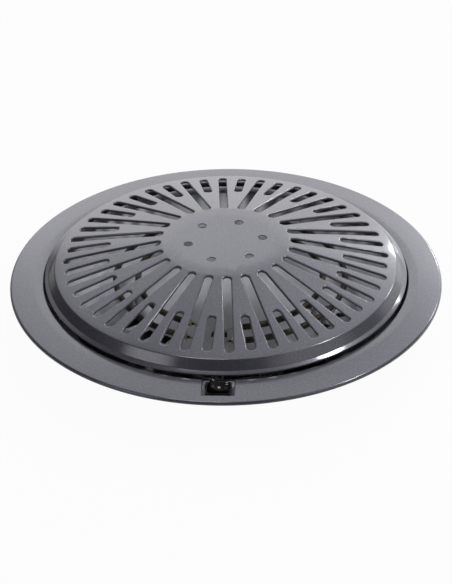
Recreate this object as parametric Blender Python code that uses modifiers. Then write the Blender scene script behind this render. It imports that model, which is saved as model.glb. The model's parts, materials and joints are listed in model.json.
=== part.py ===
"""Electric brazier: a pressed pan with a wide flange, a reflector dish with two ring
elements, a slotted cover clipped over them and a three-position rocker switch.

The origin is on the floor under the pan's axis, +Z is up and the switch is at -Y.
All lengths are in metres, all angles in degrees."""

import math

import bmesh
import bpy
from mathutils import Matrix, Vector

# Sheet and clearances
sheet = 0.0010
seat_gap = 0.0003
cut_overrun = 0.0100
merge_distance = 0.00001

# Pan: the flange's flat land, its fall to the turned rim, the well and its floor
well_radius = 0.2365
flange_width = 0.0435
flange_height = 0.0600
flange_land_width = 0.0110
flange_fall = 0.0020
rim_turn_radius = 0.0032
rim_turn_depth = 0.0038
rim_radius = well_radius + flange_width
well_corner_radius = 0.0015
well_wall_height = 0.0260
well_bend_radius = 0.0080
well_bevel_width = 0.0335
pan_floor_radius = well_radius - well_bevel_width
pan_crown_inset = 0.0150
pan_crown_rise = 0.0025
pan_crown_slope_width = 0.0060

# Feet: push-in rubber buttons
foot_height = 0.0075
foot_radius = 0.0100
foot_base_radius = 0.0088
foot_neck_radius = 0.0035
foot_flare_radius = 0.0052
foot_flare_height = 0.0030
foot_edge_distance = 0.0280
foot_circle_radius = pan_floor_radius - foot_edge_distance
foot_angles = (45, 135, 225, 315)

# Reflector dish, whose rim is level with the flange inside the well
dish_rim_gap = 0.0120
dish_rim_width = 0.0165
dish_slope_width = 0.0520
dish_depth = 0.0240
dish_floor_bend_radius = 0.0300
dish_rim_bend_radius = 0.0060
dish_rim_radius = well_radius - dish_rim_gap
dish_rim_inner_radius = dish_rim_radius - dish_rim_width
dish_floor_radius = dish_rim_inner_radius - dish_slope_width
dish_rim_height = flange_height
dish_floor_height = dish_rim_height - dish_depth
dish_edge_depth = 0.0030
dish_slit_length = 0.0130
dish_slit_width = 0.0030
dish_slit_angles = (-106, -97, -88, -79)
wire_window_width = 0.0520
wire_window_rise = 0.0045
wire_window_depth = 0.0115
wire_window_low = dish_floor_height + wire_window_rise
wire_window_high = wire_window_low + wire_window_depth

# Dark windows in the dish: angle, and shares of the floor's radius, of the length and of the width
dish_window_length = 0.0320
dish_window_width = 0.0130
dish_window_shares = (
    (-144.0, 0.897, 1.00, 1.00),
    (-131.0, 0.942, 0.75, 0.92),
    (-121.0, 0.897, 0.53, 0.85),
    (-18.5, 0.917, 0.47, 0.69),
    (-23.5, 1.045, 0.53, 0.92),
    (-34.0, 1.000, 0.34, 0.69),
)

# Cover: hub, crowned cone, crease, skirt and flared lip, all measured on the outer face
hub_radius = 0.0810
cone_rise = 0.0299
cover_crown_bulge = 0.0008
cover_crease_bend_radius = 0.0035
skirt_width = 0.0083
skirt_fall = 0.0106
skirt_foot_bend_radius = 0.0030
lip_width = 0.0050
lip_fall = 0.0023
lip_turn_depth = 0.0015
lip_gap = 0.0019
lip_clearance_height = 0.0057
lip_radius = well_radius - lip_gap
lip_height = flange_height + lip_clearance_height
skirt_foot_radius = lip_radius - lip_width
skirt_foot_height = lip_height + lip_fall
cover_crease_radius = skirt_foot_radius - skirt_width
cover_crease_height = skirt_foot_height + skirt_fall
hub_height = cover_crease_height + cone_rise

# Slots of the cover: tips on two circles, edges turned down
long_slot_count = 24
slot_turn = 3.24
hub_rim_width = 0.0025
long_slot_rim_width = 0.0107
short_slot_rim_width = 0.0130
short_slot_length = 0.0571
long_slot_inner_tip = hub_radius + hub_rim_width
long_slot_outer_tip = cover_crease_radius - long_slot_rim_width
short_slot_outer_tip = cover_crease_radius - short_slot_rim_width
short_slot_inner_tip = short_slot_outer_tip - short_slot_length
slot_width = 0.0112
slot_edge_depth = 0.0028
slot_edge_thickness = 0.0010
hub_hole_count = 6
hub_hole_circle_radius = 0.0484
hub_hole_radius = 0.0057
hub_hole_turn = 10.74

# Spring clips between the cover's skirt and the dish's rim
clip_slots = (4, 16, 28, 40)
clip_width = 0.0140
clip_sheet = 0.0008
clip_hook_length = 0.0045
clip_tab_length = 0.0070

# Ring elements, whose common centre is off the pan's axis
element_centre_x = 0.0060
element_stand_height = 0.0195
tube_radius = 0.0040
outer_ring_inset = 0.0070
ring_spacing = 0.0290
dish_slit_inset = 0.0125
element_height = dish_floor_height + element_stand_height
outer_ring_radius = dish_floor_radius - outer_ring_inset
inner_ring_radius = outer_ring_radius - ring_spacing
dish_slit_circle_radius = inner_ring_radius - dish_slit_inset
element_gap_turn = -98.3
element_gap_width = 0.0740
pin_radius = 0.0015
pin_length = 0.0130
bush_length = 0.0050
bush_radius = 0.0046
nut_width = 0.0080
nut_height = 0.0035
ring_points = 42

# Brackets that carry both tubes, standing on the dish over the standoffs
bracket_angles = (83.0, 198.2, 328.4)
bracket_sheet = 0.0012
bracket_width = 0.0110
bracket_foot_length = 0.0130
bracket_hook_height = 0.0050
standoff_radius = 0.0055
standoff_bore_depth = 0.0100
screw_shank_radius = 0.0018
screw_hole_radius = 0.0022
screw_head_radius = 0.0038
screw_head_height = 0.0024
screw_length = 0.0090
screw_head_top_share = 0.6

# Switch in its sunk tray
switch_wall_distance = 0.0128
notch_width = 0.0404
notch_outer_reach = 0.0167
tray_inner_reach = 0.0173
switch_radius = well_radius + switch_wall_distance
notch_outer_radius = switch_radius + notch_outer_reach
tray_inner_radius = switch_radius - tray_inner_reach
tray_depth = 0.0048
tray_wall_height = 0.0024
bezel_width = 0.0313
bezel_depth = 0.0248
bezel_height = 0.0018
bezel_corner_radius = 0.0020
housing_width = 0.0282
housing_depth = 0.0216
housing_height = 0.0122
cavity_width = 0.0262
cavity_depth = 0.0192
cavity_height = 0.0112
blade_width = 0.0048
blade_thickness = 0.0008
blade_length = 0.0058
blade_pitch = 0.0066
blade_inset = 0.0028

# Rocker: its V-shaped face over the pivot, tipped with its left end up
rocker_tilt = 9.0
rocker_pivot_depth = 0.0035
rocker_depth = 0.0186
rocker_half_width = 0.0120
rocker_side_height = 0.0045
rocker_crest_x = 0.0104
rocker_crest_height = 0.0099
rocker_crest_radius = 0.0012
rocker_knee_x = 0.0034
rocker_knee_height = 0.0068
rocker_valley_height = 0.0061
rocker_foot_half_width = 0.0080
rocker_foot_depth = 0.0035
trunnion_radius = 0.0014
trunnion_length = 0.0008
lens_radius = 0.0019
lens_thickness = 0.0010
lens_x = 0.0068
lens_y = -0.0040

# Guard under the flange over the switch's terminals
guard_width = 0.0450
guard_reach = 0.0192
guard_shoulder_width = 0.0060
guard_gap_depth = 0.0034
guard_shoulder_depth = 0.0180
guard_depth = 0.0300
guard_outer_radius = switch_radius + guard_reach
guard_shoulder_radius = guard_outer_radius - guard_shoulder_width
guard_top_height = flange_height - guard_gap_depth
guard_shoulder_height = flange_height - guard_shoulder_depth
guard_inner_height = flange_height - guard_depth
wall_window_width = 0.0300
wall_window_depth = 0.0250
wall_window_low = flange_height - wall_window_depth

# Lead's grommet in the well's wall
grommet_angle = -78.75
grommet_depth = 0.0128
grommet_height = flange_height - grommet_depth
grommet_bore_radius = 0.0040
grommet_neck_radius = 0.0060
grommet_flange_radius = 0.0080
grommet_flange_thickness = 0.0022
grommet_edge_share = 0.9

# Terminal block and thermal cut-out
block_length = 0.0300
block_width = 0.0160
block_height = 0.0130
block_x = 0.0620
block_inset = 0.0040
block_y = block_inset - dish_floor_radius
block_hole_radius = 0.0022
block_hole_depth = 0.0050
block_hole_pitch = 0.0090
block_rib_width = 0.0012
block_rib_depth = 0.0020
cutout_radius = 0.0080
cutout_height = 0.0050
cutout_cap_radius = 0.0055
cutout_cap_height = 0.0030
cutout_side_inset = 0.0640
cutout_inset = 0.0380
cutout_x = cutout_side_inset - inner_ring_radius
cutout_y = cutout_inset - inner_ring_radius
cutout_tab_width = 0.0048
cutout_tab_length = 0.0070
cutout_tab_thickness = 0.0008
cutout_tab_inset = 0.0020
return_hole_offset = 0.0070

# Wires, and the bonding screw between the rings
wire_radius = 0.0016
wire_hole_radius = 0.0030
wire_samples = 2
block_wire_height_share = 0.65
earth_screw_x = 0.0480
earth_screw_inset = 0.0260
earth_screw_y = earth_screw_inset - dish_floor_radius

# Wire routes between their ends: shares of the dish floor's radius in plan and of its height upwards
lead_inner_route_shares = ((-0.032, -0.865, 1.444), (-0.038, -1.026, 1.306))
lead_outer_route_shares = ((0.032, -1.026, 1.389),)
return_outer_route_shares = (
    (-0.192, -1.000, 1.361),
    (-0.109, -1.167, 1.285),
    (-0.026, -1.321, 1.056),
    (0.256, -1.256, 0.944),
)
cutout_wire_route_shares = ((-0.496, -0.654, 0.556), (-0.256, -1.026, 0.417), (0.128, -1.141, 0.389))
supply_wire_route_shares = ((0.410, -1.218, 0.375), (0.282, -1.359, 0.639), (0.128, -1.449, 0.944))
over_dish_share = 1.306
under_dish_share = 0.833
under_dish_low_share = 0.611

# Facets
pan_steps = 48
dish_steps = 48
cover_steps = 48
small_steps = 12
slot_end_steps = 3


def clear_scene():
    for item in list(bpy.data.objects):
        bpy.data.objects.remove(item)
    for group in list(bpy.data.collections):
        bpy.data.collections.remove(group)


def new_collection(name):
    group = bpy.data.collections.new(name)
    bpy.context.scene.collection.children.link(group)
    return group


def finish(name, colour, roughness, metallic):
    """A material with one Principled shader."""
    material = bpy.data.materials.new(name)
    material.use_nodes = True
    shader = material.node_tree.nodes["Principled BSDF"]
    shader.inputs["Base Color"].default_value = (*colour, 1.0)
    shader.inputs["Roughness"].default_value = roughness
    shader.inputs["Metallic"].default_value = metallic
    material.diffuse_color = (*colour, 1.0)
    return material


def place(mesh, name, material=None, matrix=None):
    """An object for a mesh: a named piece of the brazier, or a hidden cutter without a material."""
    item = bpy.data.objects.new(name, mesh)
    if material is None:
        cutters.objects.link(item)
        item.hide_render = True
        item.display_type = "WIRE"
    else:
        pieces.objects.link(item)
        if not mesh.materials:
            mesh.materials.append(material)
    if matrix is not None:
        item.matrix_world = matrix
    return item


def smooth(item):
    item.data.shade_smooth()
    item.data.set_sharp_from_angle(angle=math.radians(30))


def baked(item):
    """The same object with its modifiers worked into a mesh of its own."""
    bpy.context.view_layer.update()
    graph = bpy.context.evaluated_depsgraph_get()
    mesh = bpy.data.meshes.new_from_object(item.evaluated_get(graph))
    welded = bmesh.new()
    welded.from_mesh(mesh)
    bmesh.ops.remove_doubles(welded, verts=welded.verts, dist=merge_distance)
    welded.to_mesh(mesh)
    welded.free()
    name = item.name
    matrix = item.matrix_world.copy()
    group = item.users_collection[0]
    hidden = item.hide_render
    bpy.data.objects.remove(item)
    solid = bpy.data.objects.new(name, mesh)
    group.objects.link(solid)
    solid.matrix_world = matrix
    solid.hide_render = hidden
    if hidden:
        solid.display_type = "WIRE"
    return solid


def boolean(item, other, operation, crossing=False):
    """Joins or cuts an item. Crossing is for a cutter whose own shapes may cross."""
    modifier = item.modifiers.new(operation.lower(), "BOOLEAN")
    modifier.object = other
    modifier.operation = operation
    modifier.solver = "EXACT"
    modifier.use_self = crossing


def turn(angle):
    return Matrix.Rotation(math.radians(angle), 4, "Z")


def at(x, y, z):
    return Matrix.Translation((x, y, z))


def polar(radius, angle):
    return radius * math.cos(math.radians(angle)), radius * math.sin(math.radians(angle))


def rounded(corners):
    """The points of a bent line. Each corner is (x, z) or (x, z, bend radius, steps)."""
    points = []
    for index, corner in enumerate(corners):
        here = Vector(corner[:2])
        if len(corner) == 2:
            points.append(here)
            continue
        radius, steps = corner[2:]
        back = (Vector(corners[index - 1][:2]) - here).normalized()
        ahead = (Vector(corners[index + 1][:2]) - here).normalized()
        half = back.angle(ahead) / 2
        centre = here + (back + ahead).normalized() * radius / math.sin(half)
        start = here + back * radius / math.tan(half) - centre
        end = here + ahead * radius / math.tan(half) - centre
        sweep = start.angle_signed(end)
        for step in range(steps + 1):
            points.append(centre + Matrix.Rotation(-sweep * step / steps, 2) @ start)
    return points


def sheet_outline(line, thickness):
    """A closed outline: the line, and back along it on its right, one thickness away."""
    ways = [(b - a).normalized() for a, b in zip(line, line[1:])]
    back = []
    for index, point in enumerate(line):
        before = ways[max(index - 1, 0)]
        after = ways[min(index, len(ways) - 1)]
        side = Vector((before.y + after.y, -before.x - after.x)).normalized()
        back.append(point + side * thickness / side.dot(Vector((after.y, -after.x))))
    return list(line) + back[::-1]


def turned(name, outline, closed, steps, material=None, matrix=None):
    """A profile in the XZ plane, run down its outer side, turned about Z."""
    mesh = bpy.data.meshes.new(name)
    edges = [(i, i + 1) for i in range(len(outline) - 1)]
    if closed:
        edges.append((len(outline) - 1, 0))
    mesh.from_pydata([(x, 0, z) for x, z in outline], edges, [])
    item = place(mesh, name, material, matrix)
    screw = item.modifiers.new("turned", "SCREW")
    screw.steps = screw.render_steps = steps
    screw.use_merge_vertices = True
    screw.merge_threshold = merge_distance
    screw.use_smooth_shade = True
    return item


def prism(bm, outline, low, high, matrix=None):
    """Adds a flat outline, drawn out from low to high, to a bmesh."""
    base = [bm.verts.new((x, y, low)) for x, y in outline]
    face = bm.faces.new(base)
    grown = bmesh.ops.extrude_face_region(bm, geom=[face])["geom"]
    top = [v for v in grown if isinstance(v, bmesh.types.BMVert)]
    bmesh.ops.translate(bm, verts=top, vec=(0, 0, high - low))
    if matrix is not None:
        bmesh.ops.transform(bm, matrix=matrix, verts=base + top)


def solid(name, prisms, material=None, matrix=None):
    """One object from a list of (outline, low, high, matrix) prisms."""
    bm = bmesh.new()
    for outline, low, high, move in prisms:
        prism(bm, outline, low, high, move)
    bmesh.ops.recalc_face_normals(bm, faces=bm.faces)
    mesh = bpy.data.meshes.new(name)
    bm.to_mesh(mesh)
    bm.free()
    return place(mesh, name, material, matrix)


def rectangle(low_x, high_x, low_y, high_y):
    return [(low_x, low_y), (high_x, low_y), (high_x, high_y), (low_x, high_y)]


def soft_rectangle(width, depth, radius, steps):
    """A centred rectangle with round corners."""
    points = []
    for turn_index in range(4):
        sign_x = 1 if turn_index in (0, 3) else -1
        sign_y = 1 if turn_index < 2 else -1
        for step in range(steps + 1):
            angle = math.radians(90 * (turn_index + step / steps))
            x = sign_x * (width / 2 - radius) + radius * math.cos(angle)
            y = sign_y * (depth / 2 - radius) + radius * math.sin(angle)
            points.append((x, y))
    return points


def stadium(inner, outer, width, steps):
    """A slot along X between two tips, with full round ends."""
    half = width / 2
    points = []
    for centre, start in ((outer - half, -90), (inner + half, 90)):
        for step in range(steps + 1):
            angle = math.radians(start + 180 * step / steps)
            points.append((centre + half * math.cos(angle), half * math.sin(angle)))
    return points


def circle(radius, steps):
    return [polar(radius, 360 * step / steps) for step in range(steps)]


def hole(name, radius, low, high, matrix=None, steps=small_steps):
    return solid(name, [(circle(radius, steps), low, high, None)], None, matrix)


def wire(name, route, material):
    """A round wire through the route's points, smooth between two straight ends."""
    points = [Vector(point) for point in route]
    line = [points[0]]
    for a, b, c, d in zip(points, points[1:], points[2:], points[3:]):
        span = (c - b).length
        leave = (c - a).normalized() * span
        arrive = (d - b).normalized() * span
        for step in range(wire_samples):
            t = step / wire_samples
            line.append(
                b * (2 * t**3 - 3 * t**2 + 1)
                + leave * (t**3 - 2 * t**2 + t)
                + c * (3 * t**2 - 2 * t**3)
                + arrive * (t**3 - t**2)
            )
    line += points[-2:]
    return tube(name, line, [1.0] * len(line), wire_radius, material)


def tube(name, line, swell_shares, radius, material):
    """A capped tube along a line, its radius scaled at each point."""
    curve = bpy.data.curves.new(name, "CURVE")
    curve.dimensions = "3D"
    curve.bevel_depth = radius
    curve.bevel_resolution = 2
    curve.use_fill_caps = True
    spline = curve.splines.new("POLY")
    spline.points.add(len(line) - 1)
    for point, at_point, share in zip(spline.points, line, swell_shares):
        point.co = (*at_point, 1)
        point.radius = share
    spline.use_smooth = True
    curve.materials.append(material)
    item = bpy.data.objects.new(name, curve)
    pieces.objects.link(item)
    return item


# Heights and lines that several pieces share

pan_floor_top = foot_height + sheet
rim_top = flange_height - flange_fall
dish_floor_under = dish_floor_height - sheet
tray_floor_top = flange_height - tray_depth
tray_floor_under = tray_floor_top - sheet
bezel_top = tray_floor_top + seat_gap + bezel_height
housing_floor = tray_floor_top + seat_gap - housing_height
pivot_height = bezel_top - rocker_pivot_depth
bracket_radius = (inner_ring_radius + outer_ring_radius) / 2
well_flat_radius = well_radius * math.cos(math.pi / pan_steps)
pan_crown_radius = inner_ring_radius - pan_crown_inset


def cone_height(radius):
    """Height of the cover's outer face between the hub and the crease."""
    share = (radius - hub_radius) / (cover_crease_radius - hub_radius)
    rise = cover_crown_bulge * 4 * share * (1 - share)
    return hub_height + (cover_crease_height - hub_height) * share + rise


def make_pan():
    crown = pan_floor_top + pan_crown_rise
    wall_foot = flange_height - well_wall_height
    land_edge = well_radius + well_corner_radius + flange_land_width
    line = rounded(
        [
            (0, crown),
            (pan_crown_radius, crown),
            (pan_crown_radius + pan_crown_slope_width, pan_floor_top),
            (pan_floor_radius, pan_floor_top),
            (well_radius, wall_foot, well_bend_radius, 1),
            (well_radius, flange_height, well_corner_radius, 2),
            (land_edge, flange_height),
            (rim_radius, rim_top, rim_turn_radius, 2),
            (rim_radius, rim_top - rim_turn_depth),
        ]
    )
    pan = turned("base_pan", sheet_outline(line, sheet), False, pan_steps, painted)
    notch = solid(
        "notch_cutter",
        [
            (
                rectangle(-notch_width / 2, notch_width / 2, -notch_outer_radius, -tray_inner_radius + sheet),
                tray_floor_under - 2 * seat_gap,
                flange_height + cut_overrun,
                None,
            )
        ],
    )
    window = solid(
        "wall_window_cutter",
        [
            (
                rectangle(-wall_window_width / 2, wall_window_width / 2, -well_radius - sheet * 2, -tray_inner_radius),
                wall_window_low,
                flange_height,
                None,
            )
        ],
    )
    for cutter in (notch, window):
        boolean(pan, cutter, "DIFFERENCE")
    grommet_hole = hole(
        "grommet_hole_cutter",
        grommet_neck_radius + seat_gap,
        -cut_overrun,
        cut_overrun,
        turn(grommet_angle) @ at(well_flat_radius, 0, grommet_height) @ Matrix.Rotation(math.radians(90), 4, "Y"),
    )
    boolean(pan, grommet_hole, "DIFFERENCE")
    drills = [
        (circle(foot_neck_radius + seat_gap, small_steps), 0, foot_height + cut_overrun, at(*polar(foot_circle_radius, a), 0))
        for a in foot_angles
    ]
    boolean(pan, solid("foot_hole_cutters", drills), "DIFFERENCE")
    return pan


def slot_prisms(grow):
    """The stadium prisms of all slots, grown on every side."""
    low = lip_height
    high = hub_height + cut_overrun
    half_pitch = 180 / long_slot_count
    outlines = []
    for inner, outer, lead in (
        (long_slot_inner_tip, long_slot_outer_tip, 0),
        (short_slot_inner_tip, short_slot_outer_tip, half_pitch),
    ):
        outline = stadium(inner - grow, outer + grow, slot_width + 2 * grow, slot_end_steps)
        for number in range(long_slot_count):
            outlines.append((outline, low, high, turn(slot_turn + lead + 2 * half_pitch * number)))
    return outlines


def make_cover():
    half_cone = (hub_radius + cover_crease_radius) / 2
    line = rounded(
        [
            (0, hub_height),
            (hub_radius, hub_height),
            (half_cone, cone_height(half_cone)),
            (cover_crease_radius, cover_crease_height, cover_crease_bend_radius, 2),
            (skirt_foot_radius, skirt_foot_height, skirt_foot_bend_radius, 1),
            (lip_radius, lip_height),
            (lip_radius, lip_height - lip_turn_depth),
        ]
    )
    cover = turned("grille_cover", sheet_outline(line, sheet), False, cover_steps, painted)
    cover.rotation_euler.z = math.radians(slot_turn + 180 / cover_steps)

    inner = long_slot_inner_tip - 3 * slot_edge_thickness
    outer = long_slot_outer_tip + 3 * slot_edge_thickness
    top = [(r, cone_height(r) - sheet / 2) for r in (inner, half_cone, outer)]
    under = [(r, cone_height(r) - slot_edge_depth) for r in (outer, half_cone, inner)]
    band = turned("slot_edge_band", top + under, True, cover_steps)
    band.rotation_euler.z = cover.rotation_euler.z
    boolean(band, solid("slot_edge_outlines", slot_prisms(slot_edge_thickness)), "INTERSECT")
    boolean(cover, band, "UNION")
    boolean(cover, solid("slot_cutters", slot_prisms(0)), "DIFFERENCE")

    drills = [
        (circle(hub_hole_radius, small_steps), lip_height, hub_height + cut_overrun,
         at(*polar(hub_hole_circle_radius, hub_hole_turn + 360 * n / hub_hole_count), 0))
        for n in range(hub_hole_count)
    ]
    boolean(cover, solid("hub_hole_cutters", drills), "DIFFERENCE")
    return cover


def make_clips():
    """Spring strips: a tab under the skirt, an upright leg and a hook under the dish's rim."""
    skirt = (
        Vector((skirt_foot_radius, skirt_foot_height)) - Vector((cover_crease_radius, cover_crease_height))
    ).normalized()
    flat_share = math.cos(math.pi / cover_steps)
    start = Vector((cover_crease_radius, cover_crease_height)) + Vector((skirt.y, -skirt.x)) * (sheet + seat_gap)
    start.x *= flat_share
    skirt = Vector((skirt.x * flat_share, skirt.y)).normalized()
    leg = dish_rim_radius + seat_gap + clip_sheet
    tab_foot = start + skirt * (leg - start.x) / skirt.x
    hook = dish_rim_height - dish_edge_depth - sheet - seat_gap - clip_sheet
    line = [
        tab_foot - skirt * clip_tab_length,
        tab_foot,
        Vector((leg, hook)),
        Vector((leg - clip_hook_length, hook)),
    ]
    outline = sheet_outline(line, clip_sheet)
    upright = Matrix.Rotation(math.radians(90), 4, "X")
    mesh = None
    for number, slot in enumerate(clip_slots, 1):
        name = f"cover_clip_{number}"
        if mesh is None:
            item = solid(name, [(outline, -clip_width / 2, clip_width / 2, upright)], spring_steel)
            mesh = item.data
        else:
            item = place(mesh, name, spring_steel)
        item.matrix_world = turn(slot_turn + slot * 180 / long_slot_count)


def make_dish():
    line = rounded(
        [
            (0, dish_floor_height),
            (dish_floor_radius, dish_floor_height, dish_floor_bend_radius, 2),
            (dish_rim_inner_radius, dish_rim_height, dish_rim_bend_radius, 1),
            (dish_rim_radius, dish_rim_height),
            (dish_rim_radius, dish_rim_height - dish_edge_depth),
        ]
    )
    dish = turned("reflector_dish", sheet_outline(line, sheet), False, dish_steps, bright)
    low = dish_floor_under - cut_overrun
    high = dish_rim_height + cut_overrun
    cuts = []
    for angle, radius_share, length_share, width_share in dish_window_shares:
        radius = radius_share * dish_floor_radius
        reach = length_share * dish_window_length / 2
        half = width_share * dish_window_width / 2
        shape = rectangle(radius - reach, radius + reach, -half, half)
        cuts.append((shape, low, high, turn(angle)))
    for angle in dish_slit_angles:
        tips = (dish_slit_circle_radius - dish_slit_length / 2, dish_slit_circle_radius + dish_slit_length / 2)
        cuts.append((stadium(*tips, dish_slit_width, 2), low, high, turn(angle)))
    for angle in bracket_angles:
        x, y = bracket_spot(angle)
        cuts.append((circle(screw_hole_radius, small_steps), low, high, at(x, y, 0)))
    for x, y in (return_hole, earth_hole):
        cuts.append((circle(wire_hole_radius, small_steps), low, high, at(x, y, 0)))
    boolean(dish, solid("dish_cutters", cuts), "DIFFERENCE", crossing=True)
    opening = rectangle(-wire_window_width / 2, wire_window_width / 2, -dish_rim_inner_radius, -dish_floor_radius)
    window = solid("wire_window_cutter", [(opening, wire_window_low, wire_window_high, None)])
    boolean(dish, window, "DIFFERENCE")
    return dish


def bracket_spot(angle):
    x, y = polar(bracket_radius, angle)
    return element_centre_x + x, y


def ring_end(radius, side):
    """Where a ring's tube stops, its angle, and the way towards the middle of the gap."""
    half = math.degrees(element_gap_width / 2 / radius)
    angle = element_gap_turn + side * half
    x, y = polar(radius, angle)
    way = Vector((side * math.sin(math.radians(angle)), -side * math.cos(math.radians(angle)), 0))
    return Vector((element_centre_x + x, y, element_height)), angle, way


inner_pin_tip = ring_end(inner_ring_radius, -1)[0] + ring_end(inner_ring_radius, -1)[2] * pin_length
return_hole = (inner_pin_tip.x, inner_pin_tip.y - return_hole_offset)
earth_hole = (earth_screw_x, earth_screw_y + 3 * screw_head_radius)


def make_elements():
    """Two sheathed rings, open at the gap, with thin terminal pins at their ends."""
    for name, radius in (("inner_element", inner_ring_radius), ("outer_element", outer_ring_radius)):
        first, start, start_way = ring_end(radius, 1)
        last, end, end_way = ring_end(radius, -1)
        sweep = end + 360 - start
        line = [first + start_way * pin_length, first + start_way * merge_distance * 10]
        shares = [pin_radius / tube_radius] * 2
        for step in range(ring_points + 1):
            x, y = polar(radius, start + sweep * step / ring_points)
            line.append(Vector((element_centre_x + x, y, element_height)))
            shares.append(1.0)
        line += [last + end_way * merge_distance * 10, last + end_way * pin_length]
        shares += [pin_radius / tube_radius] * 2
        tube(name, line, shares, tube_radius, sheath)

    bush = None
    nut = None
    for number, (radius, side) in enumerate(
        ((inner_ring_radius, -1), (inner_ring_radius, 1), (outer_ring_radius, -1), (outer_ring_radius, 1)), 1
    ):
        spot, angle, way = ring_end(radius, side)
        aim = Vector((0, 0, 1)).rotation_difference(way).to_matrix().to_4x4()
        bore = pin_radius + seat_gap
        low = seat_gap + merge_distance * 20
        if bush is None:
            ring = [(bore, low + bush_length), (bush_radius, low + bush_length), (bush_radius, low), (bore, low)]
            bush = baked(turned("terminal_bush_1", ring, True, small_steps, ceramic)).data
            bush_item = bpy.data.objects["terminal_bush_1"]
        else:
            bush_item = place(bush, f"terminal_bush_{number}", ceramic)
        bush_item.matrix_world = Matrix.Translation(spot) @ aim
        seat = low + bush_length + seat_gap
        if nut is None:
            hexagon = circle(nut_width / 2 / math.cos(math.radians(30)), 6)
            nut_item = solid("terminal_nut_1", [(hexagon, seat, seat + nut_height, None)], brass)
            drill = hole("nut_bore_cutter", bore, seat - cut_overrun, seat + cut_overrun)
            boolean(nut_item, drill, "DIFFERENCE")
            nut_item = baked(nut_item)
            nut = nut_item.data
        else:
            nut_item = place(nut, f"terminal_nut_{number}", brass)
        nut_item.matrix_world = Matrix.Translation(spot) @ aim


def make_brackets():
    """Bent strips under both tubes, hooked round them, with a foot screwed through the dish."""
    rest = element_height - tube_radius - seat_gap
    floor = dish_floor_height + seat_gap + bracket_sheet
    half_foot = bracket_foot_length / 2
    reach = (outer_ring_radius - inner_ring_radius) / 2 + tube_radius + 2 * seat_gap
    side = [
        (half_foot, floor),
        (half_foot + bracket_sheet, rest),
        (reach, rest),
        (reach, rest + bracket_hook_height),
    ]
    line = [Vector((-x, z)) for x, z in side[::-1]] + [Vector(point) for point in side]
    outline = sheet_outline(line, bracket_sheet)
    upright = Matrix.Rotation(math.radians(90), 4, "X")
    post_low = pan_floor_top + seat_gap
    post_high = dish_floor_under - seat_gap
    post = [
        (0, post_high - standoff_bore_depth),
        (screw_hole_radius, post_high - standoff_bore_depth),
        (screw_hole_radius, post_high),
        (standoff_radius, post_high),
        (standoff_radius, post_low),
        (0, post_low),
    ]
    head = floor + seat_gap
    screw = [
        (0, head + screw_head_height),
        (screw_head_radius * screw_head_top_share, head + screw_head_height),
        (screw_head_radius, head + screw_head_height / 2),
        (screw_head_radius, head),
        (screw_shank_radius, head),
        (screw_shank_radius, head - screw_length),
        (0, head - screw_length),
    ]
    for number, angle in enumerate(bracket_angles, 1):
        spot = at(*bracket_spot(angle), 0)
        strip = solid(
            f"element_bracket_{number}", [(outline, -bracket_width / 2, bracket_width / 2, upright)], spring_steel
        )
        drill = hole(f"bracket_hole_cutter_{number}", screw_hole_radius, 0, hub_height)
        drill.matrix_world = spot
        strip.matrix_world = spot @ turn(angle)
        boolean(strip, drill, "DIFFERENCE")
        turned(f"dish_standoff_{number}", post, False, small_steps, zinc, spot)
        turned(f"bracket_screw_{number}", screw, False, small_steps, zinc, spot)


def make_feet():
    under = foot_height - seat_gap
    over = pan_floor_top + seat_gap
    profile = [
        (0, over + foot_flare_height),
        (foot_neck_radius, over + foot_flare_height),
        (foot_flare_radius, over),
        (foot_neck_radius, over),
        (foot_neck_radius, under),
        (foot_radius, under),
        (foot_base_radius, 0),
        (0, 0),
    ]
    for number, angle in enumerate(foot_angles, 1):
        turned(f"rubber_foot_{number}", profile, False, small_steps, rubber, at(*polar(foot_circle_radius, angle), 0))


def make_tray():
    """An open tray in the flange's notch, with walls on three sides and a hole for the housing."""
    half = notch_width / 2 - seat_gap
    outer = -notch_outer_radius + seat_gap
    top = tray_floor_top + tray_wall_height
    tray = solid(
        "switch_tray", [(rectangle(-half, half, outer, -tray_inner_radius), tray_floor_under, top, None)], painted
    )
    inside = rectangle(-half + sheet, half - sheet, outer + sheet, -tray_inner_radius + cut_overrun)
    hollow = solid("tray_hollow_cutter", [(inside, tray_floor_top, top + cut_overrun, None)])
    body = rectangle(
        -housing_width / 2 - seat_gap,
        housing_width / 2 + seat_gap,
        -switch_radius - housing_depth / 2 - seat_gap,
        -switch_radius + housing_depth / 2 + seat_gap,
    )
    opening = solid("tray_opening_cutter", [(body, tray_floor_under - cut_overrun, top, None)])
    for cutter in (hollow, opening):
        boolean(tray, cutter, "DIFFERENCE")
    return tray


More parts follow.
